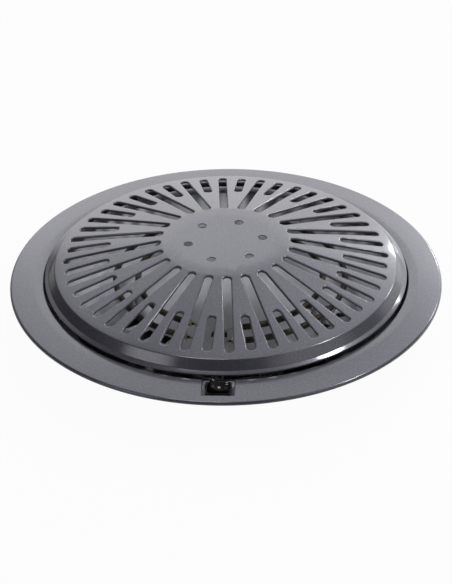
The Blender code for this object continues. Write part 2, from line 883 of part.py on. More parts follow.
def make_housing():
    """The switch's moulded case: a thin bezel over a deep body, with the rocker's cavity."""
    centre = at(0, -switch_radius, 0)
    seat = tray_floor_top + seat_gap
    bezel = soft_rectangle(bezel_width, bezel_depth, bezel_corner_radius, 2)
    case = solid("switch_housing", [(bezel, seat, bezel_top, None)], black, centre)
    body = rectangle(-housing_width / 2, housing_width / 2, -housing_depth / 2, housing_depth / 2)
    shank = solid("housing_body", [(body, housing_floor, bezel_top - bezel_height / 2, None)], None, centre)
    room = rectangle(-cavity_width / 2, cavity_width / 2, -cavity_depth / 2, cavity_depth / 2)
    cavity = solid("housing_cavity_cutter", [(room, bezel_top - cavity_height, bezel_top + cut_overrun, None)], None, centre)
    across = Matrix.Rotation(math.radians(90), 4, "X")
    reach = rocker_depth / 2 + trunnion_length + seat_gap
    bore = hole(
        "trunnion_bore_cutter",
        trunnion_radius + seat_gap,
        -reach,
        reach,
        at(0, -switch_radius, pivot_height) @ across,
        small_steps,
    )
    boolean(case, shank, "UNION")
    boolean(case, cavity, "DIFFERENCE")
    boolean(case, bore, "DIFFERENCE")
    for number in range(4):
        x = (number - 1.5) * blade_pitch
        y = -switch_radius + blade_inset
        outline = rectangle(x - blade_width / 2, x + blade_width / 2, y - blade_thickness / 2, y + blade_thickness / 2)
        low = housing_floor - seat_gap - blade_length
        solid(f"switch_terminal_{number + 1}", [(outline, low, low + blade_length, None)], brass)


def make_rocker():
    """The rocker on its trunnions, both made about the pivot and then tipped to the rest position."""
    right = rounded(
        [
            (rocker_foot_half_width, -rocker_foot_depth),
            (rocker_half_width, rocker_side_height),
            (rocker_crest_x, rocker_crest_height, rocker_crest_radius, 3),
            (rocker_knee_x, rocker_knee_height),
        ]
    )
    outline = right + [(0, rocker_valley_height)] + [(-x, z) for x, z in right[::-1]]
    across = Matrix.Rotation(math.radians(90), 4, "X")
    half = rocker_depth / 2
    pose = at(0, -switch_radius, pivot_height) @ Matrix.Rotation(math.radians(rocker_tilt), 4, "Y")
    rocker = solid("switch_rocker", [(outline, -half, half, across)], gloss_black, pose)
    reach = half + trunnion_length
    pins = solid("trunnions", [(circle(trunnion_radius, small_steps), -reach, reach, across)], None, pose)
    boolean(rocker, pins, "UNION")

    slope = math.atan2(rocker_crest_height - rocker_knee_height, rocker_crest_x - rocker_knee_x)
    for number, side in enumerate((-1, 1), 1):
        height = rocker_knee_height + math.tan(slope) * (lens_x - rocker_knee_x)
        lean = Matrix.Rotation(-side * slope, 4, "Y")
        spot = pose @ at(side * lens_x, lens_y, height) @ lean
        pocket = hole(
            f"lens_pocket_cutter_{number}", lens_radius + seat_gap, -lens_thickness, cut_overrun, spot
        )
        boolean(rocker, pocket, "DIFFERENCE")
        lens = [
            (0, 0),
            (lens_radius, -lens_thickness / 4),
            (lens_radius, seat_gap - lens_thickness),
            (0, seat_gap - lens_thickness),
        ]
        turned(f"lamp_lens_{number}", lens, False, small_steps, (red_lens, smoke_lens)[number - 1], spot)


def make_guard():
    """A folded box under the flange, open at the top and towards the well."""
    inner = well_radius - sheet
    profile = [
        (-guard_outer_radius, guard_top_height),
        (-guard_outer_radius, guard_top_height - sheet * 2),
        (-guard_shoulder_radius, guard_shoulder_height),
        (-inner, guard_inner_height),
        (-inner, guard_top_height),
    ]
    upright = Matrix(((0, 0, 1, 0), (1, 0, 0, 0), (0, 1, 0, 0), (0, 0, 0, 1)))
    half = guard_width / 2
    guard = solid("switch_guard", [(profile, -half, half, upright)], painted)
    walls = [Vector(point) for point in profile[:4]]
    hollow = sheet_outline(walls, -sheet)[len(walls) :][::-1]
    hollow[0].y += cut_overrun
    hollow[-1] += (hollow[-1] - hollow[-2]).normalized() * cut_overrun
    hollow.append(Vector((hollow[-1].x, hollow[0].y)))
    room = solid("guard_hollow_cutter", [(hollow, -half + sheet, half - sheet, upright)])
    wall = hole("guard_wall_cutter", well_radius + sheet + seat_gap, 0, hub_height, None, pan_steps * 2)
    for cutter in (room, wall):
        boolean(guard, cutter, "DIFFERENCE")
    return guard


def make_grommet():
    """A rubber ring that grips the well's wall, on both sides of it."""
    low = -grommet_flange_thickness - seat_gap
    high = sheet + seat_gap + grommet_flange_thickness
    ring = [
        (grommet_bore_radius, high),
        (grommet_flange_radius * grommet_edge_share, high),
        (grommet_flange_radius, sheet + seat_gap),
        (grommet_neck_radius, sheet + seat_gap),
        (grommet_neck_radius, -seat_gap),
        (grommet_flange_radius, -seat_gap),
        (grommet_flange_radius * grommet_edge_share, low),
        (grommet_bore_radius, low),
    ]
    aim = turn(grommet_angle) @ at(well_flat_radius, 0, grommet_height)
    aim = aim @ Matrix.Rotation(math.radians(90), 4, "Y")
    return turned("cord_grommet", ring, True, small_steps, rubber, aim)


def make_terminal_block():
    low = pan_floor_top + seat_gap
    high = low + block_height
    half_x = block_length / 2
    half_y = block_width / 2
    spot = at(block_x, block_y, 0)
    block = solid(
        "terminal_block", [(rectangle(-half_x, half_x, -half_y, half_y), low, high, None)], ceramic, spot
    )
    cuts = []
    for number in (-1, 0, 1):
        for side in (-1, 1):
            move = at(number * block_hole_pitch, side * half_y / 2, 0)
            cuts.append((circle(block_hole_radius, 8), high - block_hole_depth, high + cut_overrun, move))
    for side in (-1, 1):
        x = side * block_hole_pitch / 2
        rib = rectangle(x - block_rib_width / 2, x + block_rib_width / 2, -block_width, block_width)
        cuts.append((rib, high - block_rib_depth, high + cut_overrun, None))
    boolean(block, solid("block_cutters", cuts, None, spot), "DIFFERENCE")
    return block


def make_cutout():
    """A disc thermostat under the dish's floor, with two tabs beside its case."""
    top = dish_floor_under - seat_gap
    profile = [
        (0, top),
        (cutout_cap_radius, top),
        (cutout_cap_radius, top - cutout_cap_height),
        (cutout_radius, top - cutout_cap_height),
        (cutout_radius, top - cutout_cap_height - cutout_height),
        (0, top - cutout_cap_height - cutout_height),
    ]
    spot = at(cutout_x, cutout_y, 0)
    disc = turned("thermal_cutout", profile, False, small_steps, ceramic, spot)
    low = top - cutout_cap_height - cutout_height + cutout_tab_inset
    reach = cutout_radius + cutout_tab_length
    tab = rectangle(-reach, reach, -cutout_tab_width / 2, cutout_tab_width / 2)
    tabs = solid("cutout_tabs", [(tab, low, low + cutout_tab_thickness, None)], None, spot)
    boolean(disc, tabs, "UNION")
    return disc


def via(shares):
    """The points of a wire's route inside the pan."""
    return [(x * dish_floor_radius, y * dish_floor_radius, z * dish_floor_height) for x, y, z in shares]


def make_wiring():
    blade_y = -switch_radius + blade_inset + blade_thickness / 2 + seat_gap
    blade_z = housing_floor - seat_gap - blade_length / 2
    blade_x = [(n - 1.5) * blade_pitch for n in range(4)]
    past_wall = -(well_radius + dish_rim_radius) / 2
    window_z = (wire_window_low + wire_window_high) / 2
    window_y = -(dish_floor_radius + dish_rim_inner_radius) / 2
    tips = []
    for radius, side in ((inner_ring_radius, 1), (outer_ring_radius, 1), (outer_ring_radius, -1)):
        spot, angle, way = ring_end(radius, side)
        tips.append((spot + way * (pin_length + seat_gap), way))

    inner_tip, inner_way = tips[0]
    outer_tip, outer_way = tips[1]
    left_tip, left_way = tips[2]
    gauge = 2 * wire_radius
    wire(
        "lead_inner",
        [
            inner_tip,
            inner_tip + inner_way * gauge,
            *via(lead_inner_route_shares),
            (blade_x[1] - wire_radius, window_y, window_z),
            (blade_x[1], past_wall, wire_window_low),
            (blade_x[1], blade_y + gauge * 2, blade_z),
            (blade_x[1], blade_y, blade_z),
        ],
        glass_fibre,
    )
    wire(
        "lead_outer",
        [
            outer_tip,
            outer_tip + outer_way * gauge,
            *via(lead_outer_route_shares),
            (blade_x[2], window_y, window_z),
            (blade_x[2], past_wall, wire_window_low),
            (blade_x[2], blade_y + gauge * 2, blade_z),
            (blade_x[2], blade_y, blade_z),
        ],
        glass_fibre,
    )
    block_side = block_y + block_width / 2 + seat_gap
    block_out = pan_floor_top + seat_gap + block_height * block_wire_height_share
    wire(
        "return_outer",
        [
            left_tip,
            left_tip + left_way * gauge,
            *via(return_outer_route_shares),
            (block_x, block_y - block_width / 2 - gauge * 2, block_out),
            (block_x, block_y - block_width / 2 - seat_gap, block_out),
        ],
        glass_fibre,
    )
    spot, angle, way = ring_end(inner_ring_radius, -1)
    start = spot + way * (pin_length + seat_gap)
    tab_x = cutout_x + cutout_radius + cutout_tab_length + seat_gap
    tab_z = dish_floor_under - seat_gap - cutout_cap_height - cutout_height + cutout_tab_inset
    tab_z += cutout_tab_thickness / 2
    wire(
        "return_inner",
        [
            start,
            start + way * gauge,
            (return_hole[0] + gauge, return_hole[1], over_dish_share * dish_floor_height),
            (return_hole[0], return_hole[1], dish_floor_height),
            (return_hole[0], return_hole[1], under_dish_share * dish_floor_height),
            (tab_x + gauge * 3, cutout_y - gauge * 2, tab_z),
            (tab_x + gauge, cutout_y, tab_z),
            (tab_x, cutout_y, tab_z),
        ],
        glass_fibre,
    )
    tab_left = cutout_x - cutout_radius - cutout_tab_length - seat_gap
    wire(
        "cutout_wire",
        [
            (tab_left, cutout_y, tab_z),
            (tab_left - gauge, cutout_y, tab_z),
            *via(cutout_wire_route_shares),
            (block_x - block_hole_pitch, block_y - block_width / 2 - gauge * 2, block_out),
            (block_x - block_hole_pitch, block_y - block_width / 2 - seat_gap, block_out),
        ],
        glass_fibre,
    )
    wire(
        "supply_wire",
        [
            (block_x + block_hole_pitch, block_y - block_width / 2 - seat_gap, block_out),
            (block_x + block_hole_pitch, block_y - block_width / 2 - gauge * 2, block_out),
            *via(supply_wire_route_shares),
            (blade_x[3], blade_y + gauge * 2, blade_z),
            (blade_x[3], blade_y, blade_z),
        ],
        glass_fibre,
    )
    lug = dish_floor_height + seat_gap
    wire(
        "earth_wire",
        [
            (earth_screw_x, earth_screw_y + screw_head_radius + 2 * seat_gap, lug + wire_radius),
            (earth_screw_x, earth_screw_y + screw_head_radius * 2, lug + wire_radius * 1.5),
            (earth_hole[0], earth_hole[1], dish_floor_height),
            (earth_hole[0] + gauge, earth_hole[1], under_dish_share * dish_floor_height),
            (block_x, block_side + gauge * 3, under_dish_low_share * dish_floor_height),
            (block_x, block_side + gauge, block_out),
            (block_x, block_side, block_out),
        ],
        green,
    )


def make_earth_screw():
    """The bonding screw on the dish's floor."""
    head = dish_floor_height + seat_gap
    profile = [
        (0, head + screw_head_height),
        (screw_head_radius, head + screw_head_height),
        (screw_head_radius, head),
        (0, head),
    ]
    return turned("earth_screw", profile, False, small_steps, zinc, at(earth_screw_x, earth_screw_y, 0))


clear_scene()
pieces = new_collection("electric_brazier")
cutters = new_collection("cutters")

painted = finish("grey_hammer_paint", (0.27, 0.27, 0.30), 0.42, 0.35)
bright = finish("bright_reflector", (0.78, 0.78, 0.82), 0.18, 1.0)
sheath = finish("oxidised_sheath", (0.17, 0.16, 0.13), 0.45, 0.8)
spring_steel = finish("zinc_strip", (0.58, 0.58, 0.58), 0.35, 1.0)
zinc = finish("zinc_plate", (0.66, 0.66, 0.64), 0.30, 1.0)
brass = finish("brass", (0.70, 0.52, 0.24), 0.30, 1.0)
ceramic = finish("ceramic", (0.80, 0.77, 0.70), 0.60, 0.0)
black = finish("black_moulding", (0.012, 0.012, 0.013), 0.40, 0.0)
gloss_black = finish("black_rocker", (0.010, 0.010, 0.011), 0.25, 0.0)
red_lens = finish("red_lamp_lens", (0.35, 0.02, 0.02), 0.20, 0.0)
smoke_lens = finish("smoked_lamp_lens", (0.05, 0.02, 0.02), 0.20, 0.0)
rubber = finish("black_rubber", (0.020, 0.020, 0.020), 0.80, 0.0)
glass_fibre = finish("glass_fibre_sleeve", (0.62, 0.61, 0.57), 0.65, 0.0)
green = finish("green_earth_sleeve", (0.06, 0.30, 0.22), 0.50, 0.0)

make_pan()
make_cover()
make_clips()
make_dish()
make_elements()
make_brackets()
make_feet()
make_tray()
make_housing()
make_rocker()
make_guard()
make_grommet()
make_terminal_block()
make_cutout()
make_wiring()
make_earth_screw()
bpy.context.view_layer.update()
for item in pieces.objects:
    if item.type == "MESH":
        smooth(item)
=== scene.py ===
"""Looks of a round electric brazier: hammered grey pan and cover, bright dish, dark ring elements."""

import json
import math

import bmesh
import bpy
import numpy as np
from bpy.props import FloatProperty, FloatVectorProperty, IntProperty, PointerProperty
from mathutils import Matrix, Vector


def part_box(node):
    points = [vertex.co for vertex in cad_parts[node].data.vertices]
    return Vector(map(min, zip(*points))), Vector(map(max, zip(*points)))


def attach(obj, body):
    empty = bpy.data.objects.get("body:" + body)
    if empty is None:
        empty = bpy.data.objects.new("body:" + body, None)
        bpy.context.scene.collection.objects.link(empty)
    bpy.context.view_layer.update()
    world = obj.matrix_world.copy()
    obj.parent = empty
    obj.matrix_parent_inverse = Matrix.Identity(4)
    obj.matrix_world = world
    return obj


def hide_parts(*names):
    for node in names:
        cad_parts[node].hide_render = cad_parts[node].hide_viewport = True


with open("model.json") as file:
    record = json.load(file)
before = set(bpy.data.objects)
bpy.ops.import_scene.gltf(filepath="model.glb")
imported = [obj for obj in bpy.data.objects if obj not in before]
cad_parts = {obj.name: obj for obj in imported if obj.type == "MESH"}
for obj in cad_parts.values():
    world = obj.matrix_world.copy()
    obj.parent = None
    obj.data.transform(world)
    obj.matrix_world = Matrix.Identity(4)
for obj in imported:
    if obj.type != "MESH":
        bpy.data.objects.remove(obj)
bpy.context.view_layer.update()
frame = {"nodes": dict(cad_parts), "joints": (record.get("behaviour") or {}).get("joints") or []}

bl_info = {
    "name": "Electric brazier",
    "version": (1, 0, 0),
    "blender": (4, 5, 0),
    "location": "3D View > Sidebar > Brazier",
    "description": "Builds the pieces of a round electric brazier round its packed frame",
    "category": "Object",
}

# Places read from the frame

pan_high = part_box("base_pan")[1]
cover_low, cover_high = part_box("grille_cover")
dish_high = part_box("reflector_dish")[1]
tray_low, tray_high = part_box("switch_tray")
housing_low, housing_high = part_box("switch_housing")
rocker_joint = Vector(frame["joints"][0]["pos_m"])
blade_boxes = [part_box(f"switch_terminal_{number}") for number in range(1, 5)]
block_low, block_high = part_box("terminal_block")
earth_low, earth_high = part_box("earth_screw")
earth_middle = (earth_low + earth_high) / 2


def length(name, description, default):
    return FloatProperty(name=name, description=description, default=default, unit="LENGTH", precision=4)


def bearing(name, description, degrees):
    return FloatProperty(
        name=name, description=description, default=math.radians(degrees), subtype="ANGLE", unit="ROTATION"
    )


def colour(name, description, default):
    return FloatVectorProperty(
        name=name, description=description, default=default, size=3, min=0.0, max=1.0, subtype="COLOR"
    )


class BrazierPanSizes(bpy.types.PropertyGroup):
    """Sizes of the pressed pan, its feet and its cord hole."""

    rim_radius: length("Rim radius", "Outer radius of the flange", pan_high.x)
    flange_height: length("Flange height", "Height of the flange's land over the floor", pan_high.z)
    sheet: length("Sheet", "Thickness of the pressed sheet", 0.0010)
    well_radius: length("Well radius", "Inner radius of the well's wall", 0.2365)
    land_width: length("Land width", "Flat width of the flange next to the well", 0.0110)
    flange_fall: length("Flange fall", "Drop of the flange to its rim", 0.0020)
    rim_turn: length("Rim turn", "Depth of the turned-down rim", 0.0038)
    rim_bend: length("Rim bend", "Bend radius at the rim", 0.0032)
    well_bend: length("Well bend", "Bend radius at the well's edge", 0.0015)
    wall_height: length("Wall height", "Height of the well's upright wall", 0.0260)
    floor_radius: length("Floor radius", "Radius of the pan's flat floor", 0.2030)
    floor_height: length("Floor height", "Height of the floor's underside", 0.0075)
    crown_radius: length("Crown radius", "Radius of the raised middle of the floor", 0.1050)
    crown_rise: length("Crown rise", "Rise of the middle of the floor", 0.0025)
    foot_circle: length("Foot circle", "Radius of the circle of the feet", 0.1750)
    foot_radius: length("Foot radius", "Radius of a rubber foot", 0.0100)
    grommet_angle: bearing("Grommet angle", "Turn of the cord hole about the pan", -78.75)
    grommet_height: length("Grommet height", "Height of the cord hole's middle", 0.0472)


class BrazierCoverSizes(bpy.types.PropertyGroup):
    """Sizes of the pressed cover and its slots."""

    hub_radius: length("Hub radius", "Radius of the flat hub", 0.0810)
    hub_height: length("Hub height", "Height of the hub over the floor", cover_high.z)
    crease_radius: length("Crease radius", "Radius where the cone meets the skirt", 0.2213)
    crease_height: length("Crease height", "Height of that crease", 0.0786)
    skirt_radius: length("Skirt radius", "Radius of the skirt's foot", 0.2296)
    skirt_height: length("Skirt height", "Height of the skirt's foot", 0.0680)
    lip_radius: length("Lip radius", "Radius of the flared lip", 0.2346)
    lip_height: length("Lip height", "Height of the lip's top edge", 0.0657)
    slot_pairs: IntProperty(name="Slot pairs", description="Number of long slots, and of short", default=24)
    slot_turn: bearing("Slot turn", "Turn of the first long slot", 3.24)
    slot_width: length("Slot width", "Clear width of a slot", 0.0104)
    slot_roll: length("Slot roll", "Outer bend radius of a slot's edge", 0.0020)
    slot_depth: length("Slot depth", "Depth of a slot's turned-down edge", 0.0028)
    long_inner: length("Long slot inner tip", "Radius of the inner tip of a long slot", 0.0839)
    long_outer: length("Long slot outer tip", "Radius of the outer tip of a long slot", 0.2102)
    short_inner: length("Short slot inner tip", "Radius of the inner tip of a short slot", 0.1516)
    short_outer: length("Short slot outer tip", "Radius of the outer tip of a short slot", 0.2079)
    hole_circle: length("Hole circle", "Radius of the circle of hub holes", 0.0484)
    hole_radius: length("Hole radius", "Radius of a hub hole", 0.0057)


class BrazierHeatSizes(bpy.types.PropertyGroup):
    """Sizes of the dish, the ring elements and what carries them."""

    dish_floor_radius: length("Dish floor radius", "Radius of the dish's floor", 0.1560)
    dish_floor_height: length("Dish floor height", "Height of the dish's floor", 0.0360)
    dish_rim_inner: length("Dish rim inner radius", "Inner radius of the dish's flat rim", 0.2080)
    dish_edge_depth: length("Dish edge depth", "Depth of the dish's turned-down edge", 0.0030)
    ring_centre: length("Ring centre", "Shift of the rings to the right of the pan's axis", 0.0060)
    ring_height: length("Ring height", "Height of the rings' centre line", 0.0555)
    inner_ring: length("Inner ring radius", "Radius of the inner element", 0.1200)
    outer_ring: length("Outer ring radius", "Radius of the outer element", 0.1490)
    tube_radius: length("Tube radius", "Radius of an element's sheath", 0.0040)
    ring_gap: length("Ring gap", "Width of the gap between a ring's ends", 0.0740)
    pin_radius: length("Pin radius", "Radius of a terminal pin", 0.0015)
    pin_length: length("Pin length", "Length of a terminal pin", 0.0130)
    wire_radius: length("Wire radius", "Radius of a sleeved wire", 0.0016)


class BrazierSwitchSizes(bpy.types.PropertyGroup):
    """Sizes of the rocker switch."""

    bezel_width: length("Bezel width", "Width of the bezel", 0.0313)
    bezel_depth: length("Bezel depth", "Depth of the bezel", 0.0248)
    bezel_height: length("Bezel height", "Height of the bezel over the tray", 0.0018)
    rocker_depth: length("Rocker depth", "Length of the rocker along its axis", 0.0186)
    crest_x: length("Crest place", "Distance of a crest from the pivot", 0.0104)
    crest_height: length("Crest height", "Height of a crest over the pivot", 0.0099)
    lens_radius: length("Lens radius", "Radius of a lamp lens", 0.0019)


class BrazierColours(bpy.types.PropertyGroup):
    """Colours of the finishes."""

    paint: colour("Paint", "Hammered grey enamel", (0.187, 0.184, 0.229))
    reflector: colour("Reflector", "Bright rolled sheet", (0.88, 0.88, 0.93))
    sheath: colour("Sheath", "Oxidised element sheath", (0.10, 0.088, 0.066))
    steel: colour("Steel", "Plated strip", (0.62, 0.62, 0.63))
    brass: colour("Brass", "Bare brass", (0.82, 0.72, 0.48))
    ceramic: colour("Ceramic", "Unglazed ceramic", (0.78, 0.75, 0.68))
    black: colour("Black", "Black moulding", (0.012, 0.012, 0.013))
    marks: colour("Marks", "Printed marks of the switch", (0.95, 0.95, 0.93))
    red_lens: colour("Red lens", "Unlit red lamp lens", (0.22, 0.012, 0.010))
    smoke_lens: colour("Smoked lens", "Unlit smoked lamp lens", (0.030, 0.012, 0.012))
    rubber: colour("Rubber", "Black rubber", (0.018, 0.018, 0.018))
    sleeve: colour("Sleeve", "Braided glass-fibre sleeve", (0.78, 0.77, 0.72))
    earth: colour("Earth sleeve", "Green earth sleeve", (0.05, 0.27, 0.20))


# Shader sums


class Signal:
    """A shader value that takes part in Python sums, each of which adds a Math node."""

    def __init__(self, finish, socket):
        self.finish = finish
        self.socket = socket

    def maths(self, operation, *values):
        settings = {"operation": operation}
        return self.finish.node("ShaderNodeMath", settings, dict(enumerate(values)))

    def __add__(self, other):
        return self.maths("ADD", self, other)

    __radd__ = __add__

    def __sub__(self, other):
        return self.maths("SUBTRACT", self, other)

    def __rsub__(self, other):
        return self.maths("SUBTRACT", other, self)

    def __mul__(self, other):
        return self.maths("MULTIPLY", self, other)

    __rmul__ = __mul__

    def __truediv__(self, other):
        return self.maths("DIVIDE", self, other)

    def __rtruediv__(self, other):
        return self.maths("DIVIDE", other, self)

    def __abs__(self):
        return self.maths("ABSOLUTE", self)

    def most(self, other):
        return self.maths("MAXIMUM", self, other)

    def sine(self):
        return self.maths("SINE", self)

    def root(self):
        return self.maths("SQRT", self)

    def step(self, low, high):
        """0 at low and beyond, 1 at high and beyond, smooth between; low may be the greater."""
        inputs = {"Value": self, "From Min": low, "From Max": high}
        return self.finish.node("ShaderNodeMapRange", {"interpolation_type": "SMOOTHSTEP"}, inputs)


class Shading:
    """A node tree that nodes are added to."""

    def __init__(self, tree):
        self.tree = tree

    def feed(self, socket, value):
        if isinstance(value, Signal):
            self.tree.links.new(value.socket, socket)
        else:
            socket.default_value = value

    def node(self, kind, settings, inputs, output=0):
        """Adds a node: its settings first, then the values or links of its sockets."""
        made = self.tree.nodes.new(kind)
        for key, value in settings.items():
            setattr(made, key, value)
        for key, value in inputs.items():
            self.feed(made.inputs[key], value)
        return Signal(self, made.outputs[output])

    def axes(self, vector):
        return [self.node("ShaderNodeSeparateXYZ", {}, {0: vector}, axis) for axis in range(3)]

    def ray(self, *kinds):
        """1 for rays of any of these kinds."""
        first, *others = [self.node("ShaderNodeLightPath", {}, {}, f"Is {kind} Ray") for kind in kinds]
        for other in others:
            first = first.most(other)
        return first

    def shown(self, surface):
        """Joins a shader to the tree's output."""
        output = next(node for node in self.tree.nodes if node.bl_idname.startswith("ShaderNodeOutput"))
        self.feed(output.inputs["Surface"], surface)


class Finish(Shading):
    """A material with one Principled shader and the nodes that feed it."""

    def __init__(self, name, base, **constants):
        self.material = bpy.data.materials.new(name)
        self.material.use_nodes = True
        super().__init__(self.material.node_tree)
        self.shader = self.tree.nodes["Principled BSDF"]
        self.base = (*base, 1.0)
        for key, value in constants.items():
            self.set(key.replace("_", " ").title().replace("Ior", "IOR"), value)
        self.material.diffuse_color = self.base

    def set(self, socket, value):
        self.feed(self.shader.inputs[socket], value)

    def place(self, location=(0, 0, 0), rotation=(0, 0, 0), scale=(1, 1, 1)):
        """Object coordinates, moved, turned and scaled."""
        coordinates = self.node("ShaderNodeTexCoord", {}, {}, "Object")
        inputs = {"Vector": coordinates, "Location": location, "Rotation": rotation, "Scale": scale}
        return self.node("ShaderNodeMapping", {"vector_type": "TEXTURE"}, inputs)

    def noise(self, scale, detail=2.0, vector=None):
        inputs = {"Scale": scale, "Detail": detail, "Vector": vector or self.place()}
        return self.node("ShaderNodeTexNoise", {}, inputs)

    def cells(self, scale, vector=None):
        inputs = {"Scale": scale, "Vector": vector or self.place()}
        return self.node("ShaderNodeTexVoronoi", {"feature": "SMOOTH_F1"}, inputs)

    def mix(self, factor, first, second):
        """A colour between two colours."""
        return self.node("ShaderNodeMix", {"data_type": "RGBA"}, {0: factor, 6: first, 7: second}, 2)

    def tint(self, share):
        """The base colour, times a number."""
        return (*[min(1.0, channel * share) for channel in self.base[:3]], 1.0)

    def bump(self, height, distance, strength=1.0):
        inputs = {"Height": height, "Distance": distance, "Strength": strength}
        self.set("Normal", self.node("ShaderNodeBump", {}, inputs))


def hammered_paint(name, base):
    """Grey enamel under a glossy coat, with a fine hammered speckle and drift in its gloss."""
    finish = Finish(name, base, metallic=0.34, coat_weight=0.9, coat_roughness=0.09, coat_ior=1.85)
    speckle = finish.noise(620.0, 3.0)
    dimples = finish.cells(430.0)
    drift = finish.noise(9.0, 2.0)
    tone = 0.55 * speckle + 0.30 * dimples + 0.25 * drift
    finish.set("Base Color", finish.mix(tone.step(0.35, 0.85), finish.tint(0.76), finish.tint(1.20)))
    finish.set("Roughness", 0.26 + 0.12 * speckle + 0.05 * drift)
    finish.bump(0.6 * dimples + 0.4 * speckle, 0.00012, 0.55)
    return finish.material


def bright_sheet(name, base):
    """Bright rolled reflector, dulled in patches, with faint rings in its gloss."""
    finish = Finish(name, base, metallic=1.0)
    x, y = finish.axes(finish.place())[:2]
    radius = (x * x + y * y).root()
    ring_rate = 900.0
    rings = (radius * ring_rate).sine() * 0.5 + 0.5
    stain = finish.noise(18.0, 3.0)
    finish.set("Base Color", finish.mix(stain.step(0.45, 0.75), finish.base, finish.tint(0.84)))
    finish.set("Roughness", 0.28 + 0.10 * stain + 0.02 * rings)
    return finish.material


def oxidised_sheath(name, base):
    """Olive-brown heated steel with darker and paler bands and a fine scale."""
    finish = Finish(name, base, metallic=0.7)
    bands = finish.noise(34.0, 4.0)
    scale = finish.noise(900.0, 3.0)
    banded = finish.mix(bands.step(0.40, 0.68), finish.tint(0.55), finish.tint(1.75))
    finish.set("Base Color", finish.mix(scale.step(0.55, 0.75), banded, finish.tint(0.7)))
    finish.set("Roughness", 0.28 + 0.3 * scale)
    finish.bump(scale, 0.00005, 0.5)
    return finish.material


def plated_steel(name, base, roughness, warmth=0.0):
    """Plated metal with a fine drawn grain and a cloudy passivation."""
    finish = Finish(name, base, metallic=1.0)
    cloud = finish.noise(160.0, 3.0)
    grain = finish.noise(1.0, 2.0, finish.place(scale=(0.0004, 0.003, 0.003)))
    dulled, shifts = 0.78, (0.12, 0.06, -0.10)
    clouded = tuple(channel * (dulled + warmth * shift) for channel, shift in zip(base, shifts))
    finish.set("Base Color", finish.mix(cloud.step(0.35, 0.7), finish.base, (*clouded, 1.0)))
    finish.set("Roughness", roughness * 0.75 + 0.22 * grain)
    finish.bump(grain, 0.00002, 0.5)
    return finish.material


def unglazed_ceramic(name, base):
    """Off-white steatite with a chalky grain and a few grey smudges."""
    finish = Finish(name, base)
    grain = finish.noise(1500.0, 3.0)
    smudge = finish.noise(120.0, 3.0)
    finish.set("Base Color", finish.mix(smudge.step(0.5, 0.8), finish.base, finish.tint(0.7)))
    finish.set("Roughness", 0.5 + 0.2 * grain)
    finish.bump(grain, 0.00004, 0.5)
    return finish.material


def moulded_black(name, base, roughness):
    """Black moulding with a fine spark texture and lighter, worn specks."""
    finish = Finish(name, base, specular_ior_level=0.2)
    spark = 0.0003
    grain = finish.cells(1.0, finish.place(scale=(spark, spark, spark)))
    wear = finish.noise(300.0, 3.0)
    finish.set("Base Color", finish.mix(wear.step(0.55, 0.85), finish.base, finish.tint(2.2)))
    finish.set("Roughness", roughness * 0.8 + 0.2 * wear)
    finish.bump(grain, 0.00003, 0.4)
    return finish.material


def lamp_lens(name, base):
    """A small moulded lens with a fine haze."""
    finish = Finish(name, base, roughness=0.3, specular_ior_level=0.3)
    haze = finish.noise(900.0, 2.0)
    finish.set("Base Color", finish.mix(haze.step(0.3, 0.7), finish.tint(0.7), finish.tint(1.5)))
    finish.bump(haze, 0.00003, 0.3)
    return finish.material


def braided_sleeve(name, base):
    """Sleeving of crossed strands: two slanting sets of ridges, and painted shade that makes the sleeve black
    next to the switch.
    """
    finish = Finish(name, base, sheen_weight=0.3)
    x, y, z = finish.axes(finish.place())
    strand = 0.0011
    pitch = 2 * math.pi / strand
    one = ((x + y + z) * pitch).sine()
    other = ((x - y + z) * pitch).sine()
    strands = one.most(other) * 0.5 + 0.5
    grime = finish.noise(180.0, 3.0)
    pale = finish.mix(grime.step(0.4, 0.8), finish.base, finish.tint(0.6))
    braid = finish.mix(strands.step(0.1, 0.6), finish.tint(0.42), pale)
    # Painted shade: in front of this line, towards the switch, the sleeve is coloured black where it runs
    # into the shaded gap under the lip
    shade_line = -0.2150
    painted_shade = y.step(shade_line + 0.0010, shade_line - 0.0010)
    finish.set("Base Color", finish.mix(painted_shade, braid, (0.01, 0.01, 0.01, 1.0)))
    finish.set("Roughness", 0.6 + 0.2 * grime)
    finish.bump(strands, 0.0002, 0.7)
    return finish.material


def marked_rocker(name, base, marks, pose):
    """Satin black moulding with the marks I, II and O printed on its two faces."""
    finish = Finish(name, base, specular_ior_level=0.1)
    x, y, z = finish.axes(finish.place(location=pose.to_translation(), rotation=pose.to_euler()))
    half_stroke = 0.00048
    soft = 0.00008
    ring_place, ring_radius = -0.0024, 0.0012
    face_low, face_high = 0.0040, 0.0046

    def bar(place_x, place_y, half_length):
        along = abs(x - place_x).step(half_length + soft, half_length - soft)
        across = abs(y - place_y).step(half_stroke + soft, half_stroke - soft)
        return along * across

    ring_y = y - ring_place
    distance = (x * x + ring_y * ring_y).root()
    ring = abs(distance - ring_radius).step(half_stroke + soft, half_stroke - soft)
    left = bar(-0.0080, 0.0072, 0.0015)
    right = bar(0.0086, 0.0060, 0.0014).most(bar(0.0086, 0.0022, 0.0014))
    upwards = z.step(face_low, face_high)
    ink = left.most(right).most(ring) * upwards
    wear = finish.noise(500.0, 3.0)
    worn = finish.mix(wear.step(0.5, 0.85), finish.base, finish.tint(2.0))
    finish.set("Base Color", finish.mix(ink, worn, (*marks, 1.0)))
    finish.set("Roughness", 0.5 + 0.12 * wear + 0.1 * ink)
    finish.bump(ink + 0.2 * wear, 0.00003, 0.5)
    return finish.material


# Surfaces: each is a pair of arrays, points and quads


def unit(vectors):
    """Each vector over its own length."""
    return vectors / np.linalg.norm(vectors, axis=-1, keepdims=True)


